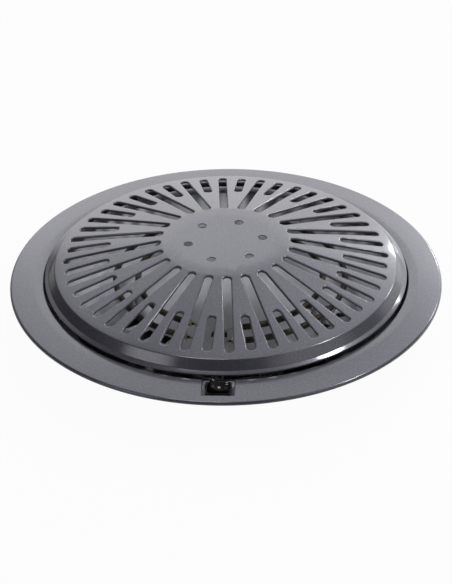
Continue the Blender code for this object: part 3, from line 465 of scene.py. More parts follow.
def grid(points, wrap=True):
    """A surface from points[row, column]; wrap joins the last column to the first."""
    rows, columns = points.shape[:2]
    here = np.arange(columns if wrap else columns - 1)[None, :]
    beside = (here + 1) % columns
    row = np.arange(rows - 1)[:, None] * columns
    quads = np.stack([row + here, row + beside, row + columns + beside, row + columns + here], -1)
    return points.reshape(-1, 3), quads.reshape(-1, 4)


def lathe(profile, steps, start=0.0):
    """A profile of (radius, height) turned about Z: (r cos t, r sin t, z)."""
    turn = start + np.linspace(0, 2 * np.pi, steps, endpoint=False)
    radius = profile[:, :1]
    height = np.broadcast_to(profile[:, 1:], (len(profile), steps))
    return grid(np.stack([radius * np.cos(turn), radius * np.sin(turn), height], -1))


def bent_line(corners, steps=6):
    """A line through corners (x, z, bend radius), each bend an arc between two tangents."""
    points = np.array([corner[:2] for corner in corners], float)
    parts = []
    for index, corner in enumerate(corners):
        here = points[index]
        if corner[2] == 0:
            parts.append(here[None])
            continue
        back = unit(points[index - 1] - here)
        ahead = unit(points[index + 1] - here)
        half = math.acos(float(back @ ahead)) / 2
        middle = here + unit(back + ahead) * corner[2] / math.sin(half)
        first = here + back * corner[2] / math.tan(half) - middle
        last = here + ahead * corner[2] / math.tan(half) - middle
        sweep = math.pi - 2 * half
        share = np.linspace(0, 1, steps + 1)[:, None]
        arc = first * np.sin((1 - share) * sweep) + last * np.sin(share * sweep)
        parts.append(middle + arc / math.sin(sweep))
    return np.concatenate(parts)


def beside(line, thickness):
    """The line moved one thickness to its right, mitred at each point."""
    way = unit(np.diff(line, axis=0))
    before = np.vstack([way[:1], way])[:, ::-1] * (1, -1)
    after = np.vstack([way, way[-1:]])[:, ::-1] * (1, -1)
    side = unit(before + after)
    return line + side * thickness / np.sum(side * after, axis=1, keepdims=True)


def sheet_outline(line, thickness):
    """A closed outline: along the line, and back along the line beside it."""
    return np.vstack([line, beside(line, thickness)[::-1]])


def prism(outline, low, high):
    """A flat outline drawn up from low to high, capped by fans about its middle."""
    middle = np.broadcast_to(outline.mean(0), outline.shape)
    rows = [(middle, low), (outline, low), (outline, high), (middle, high)]
    return stacked(rows)


def stacked(rows):
    """Flat outlines with the same number of points, each at its height, joined one to the next."""
    count = len(rows[0][0])
    return grid(np.stack([np.column_stack([outline, np.full(count, height)]) for outline, height in rows]))


def soft_rectangle(width, depth, radius, steps=6):
    """A centred rectangle with round corners: corner centres plus a turning radius."""
    quarter = np.repeat(np.arange(4), steps + 1)
    turn = (quarter + np.tile(np.linspace(0, 1, steps + 1), 4)) * math.pi / 2
    side_x = np.where((quarter == 0) | (quarter == 3), 1, -1) * (width / 2 - radius)
    side_y = np.where(quarter < 2, 1, -1) * (depth / 2 - radius)
    return np.column_stack([side_x + radius * np.cos(turn), side_y + radius * np.sin(turn)])


def ring_outline(radius, steps):
    """A circle: radius times (cos t, sin t)."""
    turn = np.linspace(0, 2 * np.pi, steps, endpoint=False)
    return radius * np.column_stack([np.cos(turn), np.sin(turn)])


def stadium(inner, outer, half, steps=8):
    """A slot along X: two half circles, each about a point one half width in from its tip."""
    turn = np.linspace(-np.pi / 2, np.pi / 2, steps + 1)
    first = np.column_stack([outer - half + half * np.cos(turn), half * np.sin(turn)])
    second = np.column_stack([inner + half - half * np.cos(turn), -half * np.sin(turn)])
    return np.vstack([first, second])


def moved(shell, matrix):
    """A surface turned and shifted: each point times the matrix's turn, plus its shift."""
    points = shell[0] @ np.array(matrix.to_3x3()).T + np.array(matrix.to_translation())
    return points, shell[1]


def tube(path, radius, sides=16, reference=None):
    """Circles of the given radius about a path, square to it, closed to a point at both ends."""
    path = np.asarray(path, float)
    radius = np.broadcast_to(np.asarray(radius, float), (len(path),))
    tangent = unit(np.gradient(path, axis=0))
    if reference is None:
        reference = np.eye(3)[np.argmin(np.abs(tangent).max(0))]
    across = unit(np.cross(tangent, reference))
    over = np.cross(tangent, across)
    turn = np.linspace(0, 2 * np.pi, sides, endpoint=False)[None, :, None]
    reach = radius[:, None, None]
    rings = path[:, None] + reach * (np.cos(turn) * across[:, None] + np.sin(turn) * over[:, None])
    first = np.broadcast_to(path[0], (1, sides, 3))
    last = np.broadcast_to(path[-1], (1, sides, 3))
    return grid(np.concatenate([first, rings, last]))


def strip(line, thickness, width, edge):
    """A line and the line beside it, drawn out to both sides, with chamfered long edges and closed ends."""
    back = beside(line, thickness)
    inwards = unit(back - line) * edge
    half = width / 2
    section = [
        (line, -half + edge), (line, half - edge), (line + inwards, half), (back - inwards, half),
        (back, half - edge), (back, -half + edge), (back - inwards, -half), (line + inwards, -half),
    ]
    rows = np.stack([np.insert(flat, 1, side, axis=1) for flat, side in section], 1)
    ends = [np.broadcast_to(rows[index].mean(0), rows[:1].shape) for index in (0, -1)]
    return grid(np.concatenate([ends[0], rows, ends[1]]))


def smooth_route(points, samples=14):
    """A curve through the points: straight in its first and last stretch, and between them cubics whose
    tangent at a point runs from the point before it to the point after."""
    points = np.array(points, float)
    start, end = points[1:-2], points[2:-1]
    span = np.linalg.norm(end - start, axis=1, keepdims=True)
    leave = unit(end - points[:-3]) * span
    arrive = unit(points[3:] - start) * span
    t = np.linspace(0, 1, samples, endpoint=False)[None, :, None]
    start, end, leave, arrive = (part[:, None] for part in (start, end, leave, arrive))
    curve = (
        start * (2 * t**3 - 3 * t**2 + 1) + leave * (t**3 - 2 * t**2 + t)
        + end * (3 * t**2 - 2 * t**3) + arrive * (t**3 - t**2)
    )
    return np.vstack([points[:1], curve.reshape(-1, 3), points[-2:]])


# Pieces


def turned(angle, axis="Z"):
    return Matrix.Rotation(angle, 4, axis)


def at(x, y, z):
    return Matrix.Translation((x, y, z))


def polar(radius, angle):
    """The point (r cos t, r sin t)."""
    return radius * math.cos(angle), radius * math.sin(angle)


def placed(name, data):
    """A new object in the scene."""
    item = bpy.data.objects.new(name, data)
    bpy.context.scene.collection.objects.link(item)
    return item


merge_distance = 0.000001
smooth_angle = math.radians(35)
seat_gap = 0.0003


def mesh_of(name, shells):
    """One mesh from several surfaces: doubles merged, normals turned outwards."""
    starts = np.cumsum([0] + [len(points) for points, quads in shells])
    points = np.concatenate([shell[0] for shell in shells])
    quads = np.concatenate([shell[1] + start for shell, start in zip(shells, starts)])
    mesh = bpy.data.meshes.new(name)
    mesh.from_pydata(points.tolist(), [], quads.tolist())
    tidy(mesh)
    return mesh


def tidy(mesh):
    work = bmesh.new()
    work.from_mesh(mesh)
    bmesh.ops.remove_doubles(work, verts=work.verts, dist=merge_distance)
    bmesh.ops.recalc_face_normals(work, faces=work.faces)
    work.to_mesh(mesh)
    work.free()
    mesh.shade_smooth()
    mesh.set_sharp_from_angle(angle=smooth_angle)


def cut(mesh, cutters):
    """The mesh less closed cutters, taken one after another."""
    item = placed("cut", mesh)
    tools = []
    for number, shells in enumerate(cutters):
        tool = placed(f"cutter_{number}", mesh_of("cutter", shells))
        modifier = item.modifiers.new("cut", "BOOLEAN")
        modifier.object = tool
        modifier.solver = "EXACT"
        tools.append(tool)
    graph = bpy.context.evaluated_depsgraph_get()
    result = bpy.data.meshes.new_from_object(item.evaluated_get(graph))
    for used in [item, *tools]:
        bpy.data.objects.remove(used)
    result.shade_smooth()
    result.set_sharp_from_angle(angle=smooth_angle)
    return result


def piece(name, mesh, material, nodes, body="body"):
    """A finished piece that rides on a body and stands for its CAD nodes."""
    item = placed(name, mesh)
    mesh.materials.append(material)
    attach(item, body)
    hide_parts(*nodes)
    return item


def softened(name, node, width, material):
    """A merged copy of a CAD node's mesh with its edges rounded."""
    mesh = frame["nodes"][node].data.copy()
    mesh.materials.clear()
    work = bmesh.new()
    work.from_mesh(mesh)
    bmesh.ops.remove_doubles(work, verts=work.verts, dist=merge_distance)
    bmesh.ops.dissolve_limit(work, angle_limit=math.radians(1), verts=work.verts, edges=work.edges)
    work.to_mesh(mesh)
    work.free()
    item = piece(name, mesh, material, [node])
    bevel = item.modifiers.new("soft_edges", "BEVEL")
    bevel.width = width
    bevel.segments = 2
    bevel.limit_method = "ANGLE"
    bevel.angle_limit = math.radians(40)
    mesh.shade_smooth()
    mesh.set_sharp_from_angle(angle=smooth_angle)
    return item


finishes = {}


def finish_for(context, name, maker, key, **settings):
    """Each finish is made once, in a colour of the panel."""
    if name not in finishes:
        finishes[name] = maker(name, tuple(getattr(context.scene.brazier_colours, key)), **settings)
    return finishes[name]


def paint(context):
    return finish_for(context, "hammered_grey", hammered_paint, "paint")


def bare_brass(context):
    return finish_for(context, "bare_brass", plated_steel, "brass", roughness=0.3, warmth=1.0)


def steatite(context):
    return finish_for(context, "steatite", unglazed_ceramic, "ceramic")


class BrazierPan(bpy.types.Operator):
    """Presses the pan: crowned floor, bevelled well, wall, wide flange and turned-down rim."""

    bl_idname = "brazier.pan"
    bl_label = "Pan"

    def execute(self, context):
        size = context.scene.brazier_pan
        floor = size.floor_height + size.sheet
        crown = floor + size.crown_rise
        crown_slope = 0.0060
        floor_bend, wide_bend, land_bend = 0.0060, 0.0080, 0.0300
        land = size.well_radius + size.well_bend + size.land_width
        rim = size.flange_height - size.flange_fall
        line = bent_line(
            [
                (0, crown, 0),
                (size.crown_radius, crown, wide_bend),
                (size.crown_radius + crown_slope, floor, wide_bend),
                (size.floor_radius, floor, floor_bend),
                (size.well_radius, size.flange_height - size.wall_height, wide_bend),
                (size.well_radius, size.flange_height, size.well_bend),
                (land, size.flange_height, land_bend),
                (size.rim_radius, rim, size.rim_bend),
                (size.rim_radius, rim - size.rim_turn, 0),
            ]
        )
        mesh = mesh_of("pressed_pan", [lathe(sheet_outline(line, size.sheet), steps=384)])
        mesh = cut(mesh, [[self.notch(size)], [self.window(size)], self.small_holes(size)])
        piece("pressed_pan", mesh, paint(context), ["base_pan"])
        return {"FINISHED"}

    def notch(self, size):
        """Room for the switch's tray, with a narrow groove before it."""
        groove, corner = 0.0016, 0.0015
        half = tray_high.x + seat_gap
        return soft_box(
            -half, half, tray_low.y - groove, tray_high.y + size.sheet,
            tray_low.z - 2 * seat_gap, size.flange_height + size.sheet, corner,
        )

    def window(self, size):
        """The passage of the switch's wires through the well's wall."""
        half, low, high, corner = 0.0150, 0.0350, 0.0590, 0.0020
        outside, inside = -size.well_radius - 2 * size.sheet, tray_high.y + 0.0005
        return soft_box(-half, half, outside, inside, low, high, corner)

    def small_holes(self, size):
        """The holes of the cord's grommet and of the feet."""
        cord_radius, foot_radius, reach = 0.0063, 0.0038, 0.0100
        cord = prism(ring_outline(cord_radius, steps=40), -reach, reach)
        foot = prism(ring_outline(foot_radius, steps=24), 0, 2 * reach)
        spots = [at(*polar(size.foot_circle, corner), 0) for corner in foot_corners]
        return [moved(cord, in_wall(size, size.well_radius)), *[moved(foot, spot) for spot in spots]]


def soft_box(low_x, high_x, low_y, high_y, low, high, radius):
    """An upright box with round corners."""
    outline = soft_rectangle(high_x - low_x, high_y - low_y, radius)
    middle = at((low_x + high_x) / 2, (low_y + high_y) / 2, 0)
    return moved(prism(outline, low, high), middle)


def in_wall(size, radius):
    """The place of the cord hole, with its axis pointing outwards."""
    x, y = polar(radius, size.grommet_angle)
    return at(x, y, size.grommet_height) @ turned(size.grommet_angle) @ turned(math.pi / 2, "Y")


foot_corners = [math.radians(angle) for angle in (45, 135, 225, 315)]

# The part's round walls have 48 facets: how near a facet's middle comes, as a share of the radius
facet_flat = math.cos(math.pi / 48)


class BrazierFeet(bpy.types.Operator):
    """Moulds the push-in feet and the cord's grommet."""

    bl_idname = "brazier.feet"
    bl_label = "Feet and grommet"

    def execute(self, context):
        size = context.scene.brazier_pan
        rubber = finish_for(context, "black_rubber", moulded_black, "rubber", roughness=0.75)
        self.feet(size, rubber)
        self.grommet(size, rubber)
        return {"FINISHED"}

    def feet(self, size, rubber):
        """A pad, a neck through the floor, a barbed head, and a dimple underneath."""
        under = size.floor_height - seat_gap
        over = size.floor_height + size.sheet + seat_gap
        neck, barb, head = 0.0035, 0.0052, 0.0030
        tread, dimple, taper, depth = 0.0088, 0.0048, 0.0006, 0.0010
        line = bent_line(
            [
                (0, over + head, 0),
                (neck, over + head, 0.0004),
                (barb, over, 0.0003),
                (neck, over, 0),
                (neck, under, 0),
                (size.foot_radius, under, 0.0006),
                (tread, 0, 0.0014),
                (dimple, 0, 0.0006),
                (dimple - taper, depth, 0.0006),
                (0, depth, 0),
            ],
            steps=4,
        )
        for number, corner in enumerate(foot_corners, 1):
            shell = moved(lathe(line, steps=48), at(*polar(size.foot_circle, corner), 0))
            name = f"push_in_foot_{number}"
            piece(name, mesh_of(name, [shell]), rubber, [f"rubber_foot_{number}"])

    def grommet(self, size, rubber):
        """Two flanges either side of the wall, joined by a neck, round a plain bore."""
        bore, neck, flange = 0.0040, 0.0060, 0.0080
        flange_height = 0.0025
        low, high = -flange_height, size.sheet + flange_height
        neck_low, neck_high = -seat_gap, size.sheet + seat_gap
        middle = (low + high) / 2
        ring = bent_line(
            [
                (bore, middle, 0),
                (bore, high, 0.0008),
                (flange, high, 0.0012),
                (flange, neck_high, 0.0002),
                (neck, neck_high, 0),
                (neck, neck_low, 0),
                (flange, neck_low, 0.0002),
                (flange, low, 0.0012),
                (bore, low, 0.0008),
                (bore, middle, 0),
            ],
            steps=4,
        )
        shell = moved(lathe(ring, steps=48), in_wall(size, size.well_radius * facet_flat))
        piece("wall_grommet", mesh_of("wall_grommet", [shell]), rubber, ["cord_grommet"])


def cover_height(size, radius):
    """Height of the cover's top: the flat hub, a parabola that bends down, then a straight fall to the
    crease plus crown * share * (1 - share), where share runs from 0 at the hub to 1 at the crease."""
    soft = 0.0020
    span = size.crease_radius - size.hub_radius
    fall = size.crease_height - size.hub_height
    crown = 0.0032
    share = (radius - size.hub_radius) / span
    cone = size.hub_height + fall * share + crown * share * (1 - share)
    slope = (fall + crown) / span
    reach = np.clip(radius - size.hub_radius + soft, 0, None)
    bend = size.hub_height + slope * reach**2 / (4 * soft)
    return np.where(radius < size.hub_radius + soft, bend, cone)


def sector_edge(radii, halves, inner_steps, outer_steps):
    """A sector's closed edge: up its left side, along the outer arc, down the right, along the inner arc."""
    outer = np.linspace(halves[-1], -halves[-1], outer_steps + 1)[1:-1]
    inner = np.linspace(-halves[0], halves[0], inner_steps + 1)[1:-1] if inner_steps else np.zeros(0)
    radius = np.concatenate(
        [radii, np.full(len(outer), radii[-1]), radii[::-1], np.full(len(inner), radii[0])]
    )
    angle = np.concatenate([halves, outer, -halves[::-1], inner])
    return np.column_stack([radius * np.cos(angle), radius * np.sin(angle)])


def pierced_sectors(size, edge, first, last, half, rows, starts):
    """Sectors with a slot each. A row (share, offset, drop) lies between the sector's edge (share 1)
    and the slot's outline grown by the offset (share 0), and the drop is taken off the cover's height."""
    middle = np.column_stack([np.clip(edge[:, 0], first, last), np.zeros(len(edge))])
    way = unit(edge - middle)
    share, offset, drop = (np.array(column)[:, None, None] for column in zip(*rows))
    flat = share * edge + (1 - share) * (middle + way * (half + offset))
    height = cover_height(size, np.linalg.norm(flat, axis=-1)) - drop[:, :, 0]
    shells = []
    for start in starts:
        cosine, sine = math.cos(start), math.sin(start)
        x = flat[..., 0] * cosine - flat[..., 1] * sine
        y = flat[..., 0] * sine + flat[..., 1] * cosine
        shells.append(grid(np.stack([x, y, height], -1)))
    return shells


# The flat band round a slot's rolled edge, and the room that a sector leaves past a slot's tip
flat_edge = 0.0003
tip_margin = 2.5 * flat_edge


def stations(stops, steps):
    """Radii from the first stop to the last, with a number of even steps in each stretch."""
    parts = [np.linspace(low, high, count + 1)[1:] for low, high, count in zip(stops, stops[1:], steps)]
    return np.concatenate([stops[:1], *parts])


def rolled(middle, radius, degrees):
    """Rows on an arc: offset middle - radius sin a, and drop middle - radius cos a."""
    return [(0, middle - radius * math.sin(a), middle - radius * math.cos(a)) for a in np.radians(degrees)]


def collar_rows(roll, sheet, depth):
    """Rows of a slot's edge: rolled over, turned down, and back up inside the sheet."""
    over = rolled(roll, roll, (15, 30, 45, 60, 75, 90))
    under = rolled(roll, roll - sheet, (90, 60, 30, 0))
    return [
        (1, 0, 0), (0, roll + flat_edge, 0), (0, roll, 0), *over, (0, 0, depth), (0, sheet, depth), *under,
        (0, roll + flat_edge, sheet), (1, 0, sheet),
    ]


def hole_rows(edge, sheet):
    """Rows of a plain pierced hole with a slightly rolled edge."""
    near_share = 0.3
    return [
        (1, 0, 0), (near_share, edge, 0), (0, edge + flat_edge, 0), (0, edge, 0),
        *rolled(edge, edge, (30, 60, 90)), (0, 0, sheet), (1, 0, sheet),
    ]


class BrazierCover(bpy.types.Operator):
    """Presses the cover: long and short slots with turned-down edges, hub holes, skirt and lip."""

    bl_idname = "brazier.cover"
    bl_label = "Slotted cover"

    def execute(self, context):
        size = context.scene.brazier_cover
        sheet = context.scene.brazier_pan.sheet
        pairs = size.slot_pairs
        pitch = math.pi / pairs
        hub_edge = size.long_inner - size.slot_roll - tip_margin
        outer_edge = size.long_outer + size.slot_roll + tip_margin
        fork, parted = size.short_inner - 0.0116, size.short_inner + 0.0024
        hub_zone, tip_zone = hub_edge + 0.0100, 0.2000

        def short_half(radii):
            """Half the angle of a short slot's sector: none up to the fork, an even share once parted."""
            share = np.clip((radii - fork) / (parted - fork), 0, 1)
            return pitch / 2 * share * share * (3 - 2 * share)

        inside = stations((hub_edge, hub_zone, fork), (6, 6))
        outside = stations((fork, parted, tip_zone, outer_edge), (7, 5, 10))
        radii = np.concatenate([inside, outside[1:]])
        half = size.slot_width / 2
        rows = collar_rows(size.slot_roll, sheet, size.slot_depth)
        arc_steps = 8
        starts = size.slot_turn + 2 * pitch * np.arange(pairs)
        long_edge = sector_edge(radii, pitch - short_half(radii), 2 * arc_steps, arc_steps)
        shells = pierced_sectors(
            size, long_edge, size.long_inner + half, size.long_outer - half, half, rows, starts
        )
        short_edge = sector_edge(outside, short_half(outside), 0, arc_steps)
        shells += pierced_sectors(
            size, short_edge, size.short_inner + half, size.short_outer - half, half, rows, starts + pitch
        )

        holes, boss, hole_edge, boss_steps = 6, 0.0220, 0.0005, 16
        circle = size.hole_circle
        hub_radii = np.array([boss, 0.030, 0.038, 0.044, circle, 0.053, 0.059, 0.070, hub_edge])
        hub_half = np.full(len(hub_radii), math.pi / holes)
        hub_line = sector_edge(hub_radii, hub_half, boss_steps, 2 * arc_steps * pairs // holes)
        hub_starts = size.slot_turn + pitch + 2 * math.pi / holes * np.arange(holes)
        shells += pierced_sectors(
            size, hub_line, circle, circle, size.hole_radius, hole_rows(hole_edge, sheet), hub_starts
        )
        boss_start = float(hub_starts[0]) - math.pi / holes
        for height in (size.hub_height, size.hub_height - sheet):
            shells.append(lathe(np.array([(0, height), (boss, height)]), boss_steps * holes, boss_start))

        edge_top = float(cover_height(size, np.array(outer_edge)))
        skirt = bent_line(
            [
                (outer_edge, edge_top, 0),
                (size.crease_radius, size.crease_height, 0.0035),
                (size.skirt_radius, size.skirt_height, 0.0030),
                (size.lip_radius, size.lip_height, 0.0006),
                (size.lip_radius, cover_low.z, 0),
            ]
        )
        under = beside(skirt, sheet)[::-1]
        under[-1] = (outer_edge, edge_top - sheet)
        first_edge = size.slot_turn - pitch / 2
        shells.append(lathe(np.vstack([skirt, under]), 2 * arc_steps * pairs, first_edge))
        piece("slotted_cover", mesh_of("slotted_cover", shells), paint(context), ["grille_cover"])
        return {"FINISHED"}


class BrazierDish(bpy.types.Operator):
    """Spins the reflector dish and cuts its vents and the wires' window."""

    bl_idname = "brazier.dish"
    bl_label = "Reflector dish"

    def execute(self, context):
        size = context.scene.brazier_heat
        sheet = context.scene.brazier_pan.sheet
        floor = size.dish_floor_height
        rim = dish_high.z
        line = bent_line(
            [
                (0, floor, 0),
                (size.dish_floor_radius, floor, 0.030),
                (size.dish_rim_inner, rim, 0.010),
                (dish_high.x, rim, 0.0008),
                (dish_high.x, rim - size.dish_edge_depth, 0),
            ]
        )
        mesh = mesh_of("spun_dish", [lathe(sheet_outline(line, sheet), steps=192)])
        past = 0.0120
        low, high = floor - past, rim + past
        vent_corner, slit_half, wire_hole = 0.0012, 0.0015, 0.0030
        cuts = []
        for angle, radius, reach, width in dish_vents:
            outline = soft_rectangle(reach, width, vent_corner) + (radius, 0)
            cuts.append(moved(prism(outline, low, high), turned(math.radians(angle))))
        for angle in slit_angles:
            cuts.append(moved(prism(stadium(*slit_tips, slit_half), low, high), turned(math.radians(angle))))
        for x, y in (return_hole(size), earth_hole()):
            cuts.append(moved(prism(ring_outline(wire_hole, steps=24), low, high), at(x, y, 0)))
        half, corner = 0.0260, 0.0020
        window_low, window_high = (floor + rise for rise in wire_window)
        window = soft_box(
            -half, half, -size.dish_rim_inner, -size.dish_floor_radius, window_low, window_high, corner
        )
        mesh = cut(mesh, [[shell] for shell in [*cuts, window]])
        reflector = finish_for(context, "bright_reflector", bright_sheet, "reflector")
        piece("spun_dish", mesh, reflector, ["reflector_dish"])
        return {"FINISHED"}


# Slits of the dish: their angles in degrees and the radii of their tips
slit_angles = (-106, -97, -88, -79)
slit_tips = (0.1010, 0.1140)

# The wires' window in the dish's slope: its lower and upper edge over the dish's floor
wire_window = (0.0045, 0.0160)

# Vents of the dish: angle in degrees, radius, length and width in metres
dish_vents = (
    (-144.0, 0.1400, 0.0320, 0.0130),
    (-131.0, 0.1470, 0.0240, 0.0120),
    (-121.0, 0.1400, 0.0170, 0.0110),
    (-18.5, 0.1430, 0.0150, 0.0090),
    (-23.5, 0.1630, 0.0170, 0.0120),
    (-34.0, 0.1560, 0.0110, 0.0090),
)


# The turn of the gap that both rings leave between their ends
gap_middle = math.radians(-98.3)


def ring_end(size, radius, side):
    """Where a ring stops, half the gap's width round from the gap's middle, its angle, and the way
    towards that middle."""
    angle = gap_middle + side * size.ring_gap / 2 / radius
    x, y = polar(radius, angle)
    way = Vector((side * math.sin(angle), -side * math.cos(angle), 0))
    return Vector((size.ring_centre + x, y, size.ring_height)), angle, way


def ring_ends(size):
    return [ring_end(size, radius, side) for radius in (size.inner_ring, size.outer_ring) for side in (-1, 1)]


def return_hole(size):
    spot, _, way = ring_end(size, size.inner_ring, -1)
    tip = spot + way * size.pin_length
    before = 0.0070
    return tip.x, tip.y - before


def earth_hole():
    behind = 0.0114
    return earth_middle.x, earth_middle.y + behind


class BrazierElements(bpy.types.Operator):
    """Bends the two ring elements, with their terminal pins, bushes and nuts."""

    bl_idname = "brazier.elements"
    bl_label = "Ring elements"

    def execute(self, context):
        size = context.scene.brazier_heat
        sheath = finish_for(context, "oxidised_sheath", oxidised_sheath, "sheath")
        steps = 360
        for name, radius in (("inner", size.inner_ring), ("outer", size.outer_ring)):
            first, start, first_way = ring_end(size, radius, 1)
            last, end, last_way = ring_end(size, radius, -1)
            angle = np.linspace(start, end + 2 * math.pi, steps + 1)
            circle = radius * np.column_stack([np.cos(angle), np.sin(angle), 0 * angle])
            path = circle + (size.ring_centre, 0, size.ring_height)
            shells = [tube(path, end_taper(path, size.tube_radius), sides=24, reference=(0, 0, 1))]
            for spot, way in ((first, first_way), (last, last_way)):
                pin = np.array([spot - way * pin_root, spot + way * size.pin_length])
                shells.append(tube(pin, size.pin_radius, sides=16, reference=(0, 0, 1)))
            piece(f"{name}_ring", mesh_of(f"{name}_ring", shells), sheath, [f"{name}_element"])

        bore = size.pin_radius + seat_gap
        collar, body = 0.0036, 0.0046
        low, middle, shoulder, top = 0.0005, 0.0025, 0.0042, 0.0055
        bush = bent_line(
            [
                (bore, middle, 0), (bore, top, 0.0003), (collar, top, 0.0005), (collar, shoulder, 0.0002),
                (body, shoulder, 0.0005), (body, low, 0.0005), (bore, low, 0.0003), (bore, middle, 0),
            ],
            steps=4,
        )
        nut = nut_shell(top + seat_gap, height=0.0035, half_width=0.0040, bore=bore)
        ceramic, brass = steatite(context), bare_brass(context)
        for number, (spot, _, way) in enumerate(ring_ends(size), 1):
            aim = Matrix.Translation(spot) @ Vector((0, 0, 1)).rotation_difference(way).to_matrix().to_4x4()
            shell = moved(lathe(bush, steps=40), aim)
            piece(f"bush_{number}", mesh_of("bush", [shell]), ceramic, [f"terminal_bush_{number}"])
            shell = moved(nut, aim)
            piece(f"nut_{number}", mesh_of("nut", [shell]), brass, [f"terminal_nut_{number}"])
        return {"FINISHED"}


# How far a terminal pin reaches back into its tube
pin_root = 0.0020


def end_taper(path, radius):
    """A tube's radius along its path, less at both ends: radius - edge * (1 - distance / reach)."""
    edge, reach = 0.0006, 0.0020
    length_along = np.concatenate([[0], np.cumsum(np.linalg.norm(np.diff(path, axis=0), axis=1))])
    from_end = np.minimum(length_along, length_along[-1] - length_along)
    return radius - edge * np.clip(1 - from_end / reach, 0, 1)


def nut_shell(seat, height, half_width, bore):
    """A hexagon nut: its outline is the lesser of the hexagon's and a chamfer circle's radius."""
    steps = 72
    angle = np.linspace(0, 2 * np.pi, steps, endpoint=False)
    round_way = ring_outline(1, steps)
    hexagon = half_width / np.cos((angle + np.pi / 6) % (np.pi / 3) - np.pi / 6)
    chamfer, no_limit = 0.0004, 2 * half_width
    limits = ((0, half_width), (chamfer, no_limit), (height - chamfer, no_limit), (height, half_width))
    rows = [(np.minimum(hexagon, limit)[:, None] * round_way, seat + z) for z, limit in limits]
    rows += [(bore * round_way, seat + height), (bore * round_way, seat), rows[0]]
    return stacked(rows)


class BrazierBrackets(bpy.types.Operator):
    """Bends the brackets and spring clips, and turns the standoffs and screws."""

    bl_idname = "brazier.brackets"
    bl_label = "Brackets, clips and screws"

    def execute(self, context):
        size = context.scene.brazier_heat
        cover = context.scene.brazier_cover
        pan = context.scene.brazier_pan
        strip_steel = finish_for(context, "plated_strip", plated_steel, "steel", roughness=0.34)
        zinc = finish_for(context, "zinc_plate", plated_steel, "steel", roughness=0.28, warmth=0.6)
        line, floor, thickness = self.bracket_line(size)
        post = self.post_line(size, pan)
        middle = (size.inner_ring + size.outer_ring) / 2
        width, edge, shank, reach = 0.0110, 0.0002, 0.0088, 0.0040
        for number, angle in enumerate(bracket_angles, 1):
            x, y = polar(middle, math.radians(angle))
            spot = at(size.ring_centre + x, y, 0)
            shell = moved(strip(line, thickness, width, edge), spot @ turned(math.radians(angle)))
            drill = moved(prism(ring_outline(screw_hole, steps=24), floor - reach, floor + reach), spot)
            mesh = cut(mesh_of("bracket", [shell]), [[drill]])
            piece(f"ring_bracket_{number}", mesh, strip_steel, [f"element_bracket_{number}"])
            mesh = mesh_of("standoff", [moved(lathe(post, steps=40), spot)])
            piece(f"standoff_{number}", mesh, zinc, [f"dish_standoff_{number}"])
            mesh = screw_mesh(spot @ at(0, 0, floor + seat_gap), shank, angle)
            piece(f"pan_screw_{number}", mesh, zinc, [f"bracket_screw_{number}"])
        earth = at(earth_middle.x, earth_middle.y, earth_low.z)
        piece("bonding_screw", screw_mesh(earth, shank=0.0, angle=20.0), zinc, ["earth_screw"])
        self.clips(cover, size, pan.sheet, strip_steel)
        return {"FINISHED"}

    def bracket_line(self, size):
        """A flat foot on the dish, a post up to the rings, two arms under them and two hooks outside."""
        thickness, half_foot, hook = 0.0012, 0.0065, 0.0050
        rest = size.ring_height - size.tube_radius - seat_gap
        floor = size.dish_floor_height + seat_gap + thickness
        reach = (size.outer_ring - size.inner_ring) / 2 + size.tube_radius + 2 * seat_gap
        right = [
            (half_foot, floor, 0.0012), (half_foot + thickness, rest, 0.0008),
            (reach, rest, 0.0014), (reach, rest + hook, 0),
        ]
        left = [(-x, z, bend) for x, z, bend in right[::-1]]
        return bent_line(left + right, steps=4), floor, thickness

    def post_line(self, size, pan):
        """A round post from the pan's floor to the dish, with a blind hole for the screw."""
        radius, hole_depth = 0.0055, 0.0100
        low = pan.floor_height + pan.sheet + seat_gap
        high = size.dish_floor_height - pan.sheet - seat_gap
        hole = high - hole_depth
        return bent_line(
            [
                (0, hole, 0), (screw_hole, hole, 0), (screw_hole, high, 0.0003),
                (radius, high, 0.0005), (radius, low, 0.0005), (0, low, 0),
            ],
            steps=3,
        )

    def clips(self, cover, size, sheet, strip_steel):
        """Spring strips between the cover's skirt and the dish's rim."""
        thickness, width, edge = 0.0008, 0.0140, 0.00015
        under_skirt, tab, hook_reach = 0.0013, 0.0070, 0.0045
        crease = np.array([cover.crease_radius, cover.crease_height])
        skirt = unit(np.array([cover.skirt_radius, cover.skirt_height]) - crease)
        start = (crease + np.array([skirt[1], -skirt[0]]) * under_skirt) * (facet_flat, 1)
        skirt = unit(skirt * (facet_flat, 1))
        leg = dish_high.x + seat_gap + thickness
        foot = start + skirt * (leg - start[0]) / skirt[0]
        hook = dish_high.z - size.dish_edge_depth - sheet - seat_gap - thickness
        line = bent_line(
            [(*(foot - skirt * tab), 0), (*foot, 0.0010), (leg, hook, 0.0012), (leg - hook_reach, hook, 0)],
            steps=4,
        )
        half_pitch = math.pi / cover.slot_pairs
        for number, slot in enumerate(clip_slots, 1):
            shell = moved(strip(line, thickness, width, edge), turned(cover.slot_turn + slot * half_pitch))
            name = f"spring_clip_{number}"
            piece(name, mesh_of(name, [shell]), strip_steel, [f"cover_clip_{number}"])


# The brackets' turns in degrees, the clips' places counted in slots of both kinds, a screw hole's radius
bracket_angles = (83.0, 198.2, 328.4)
clip_slots = (4, 16, 28, 40)
screw_hole = 0.0022


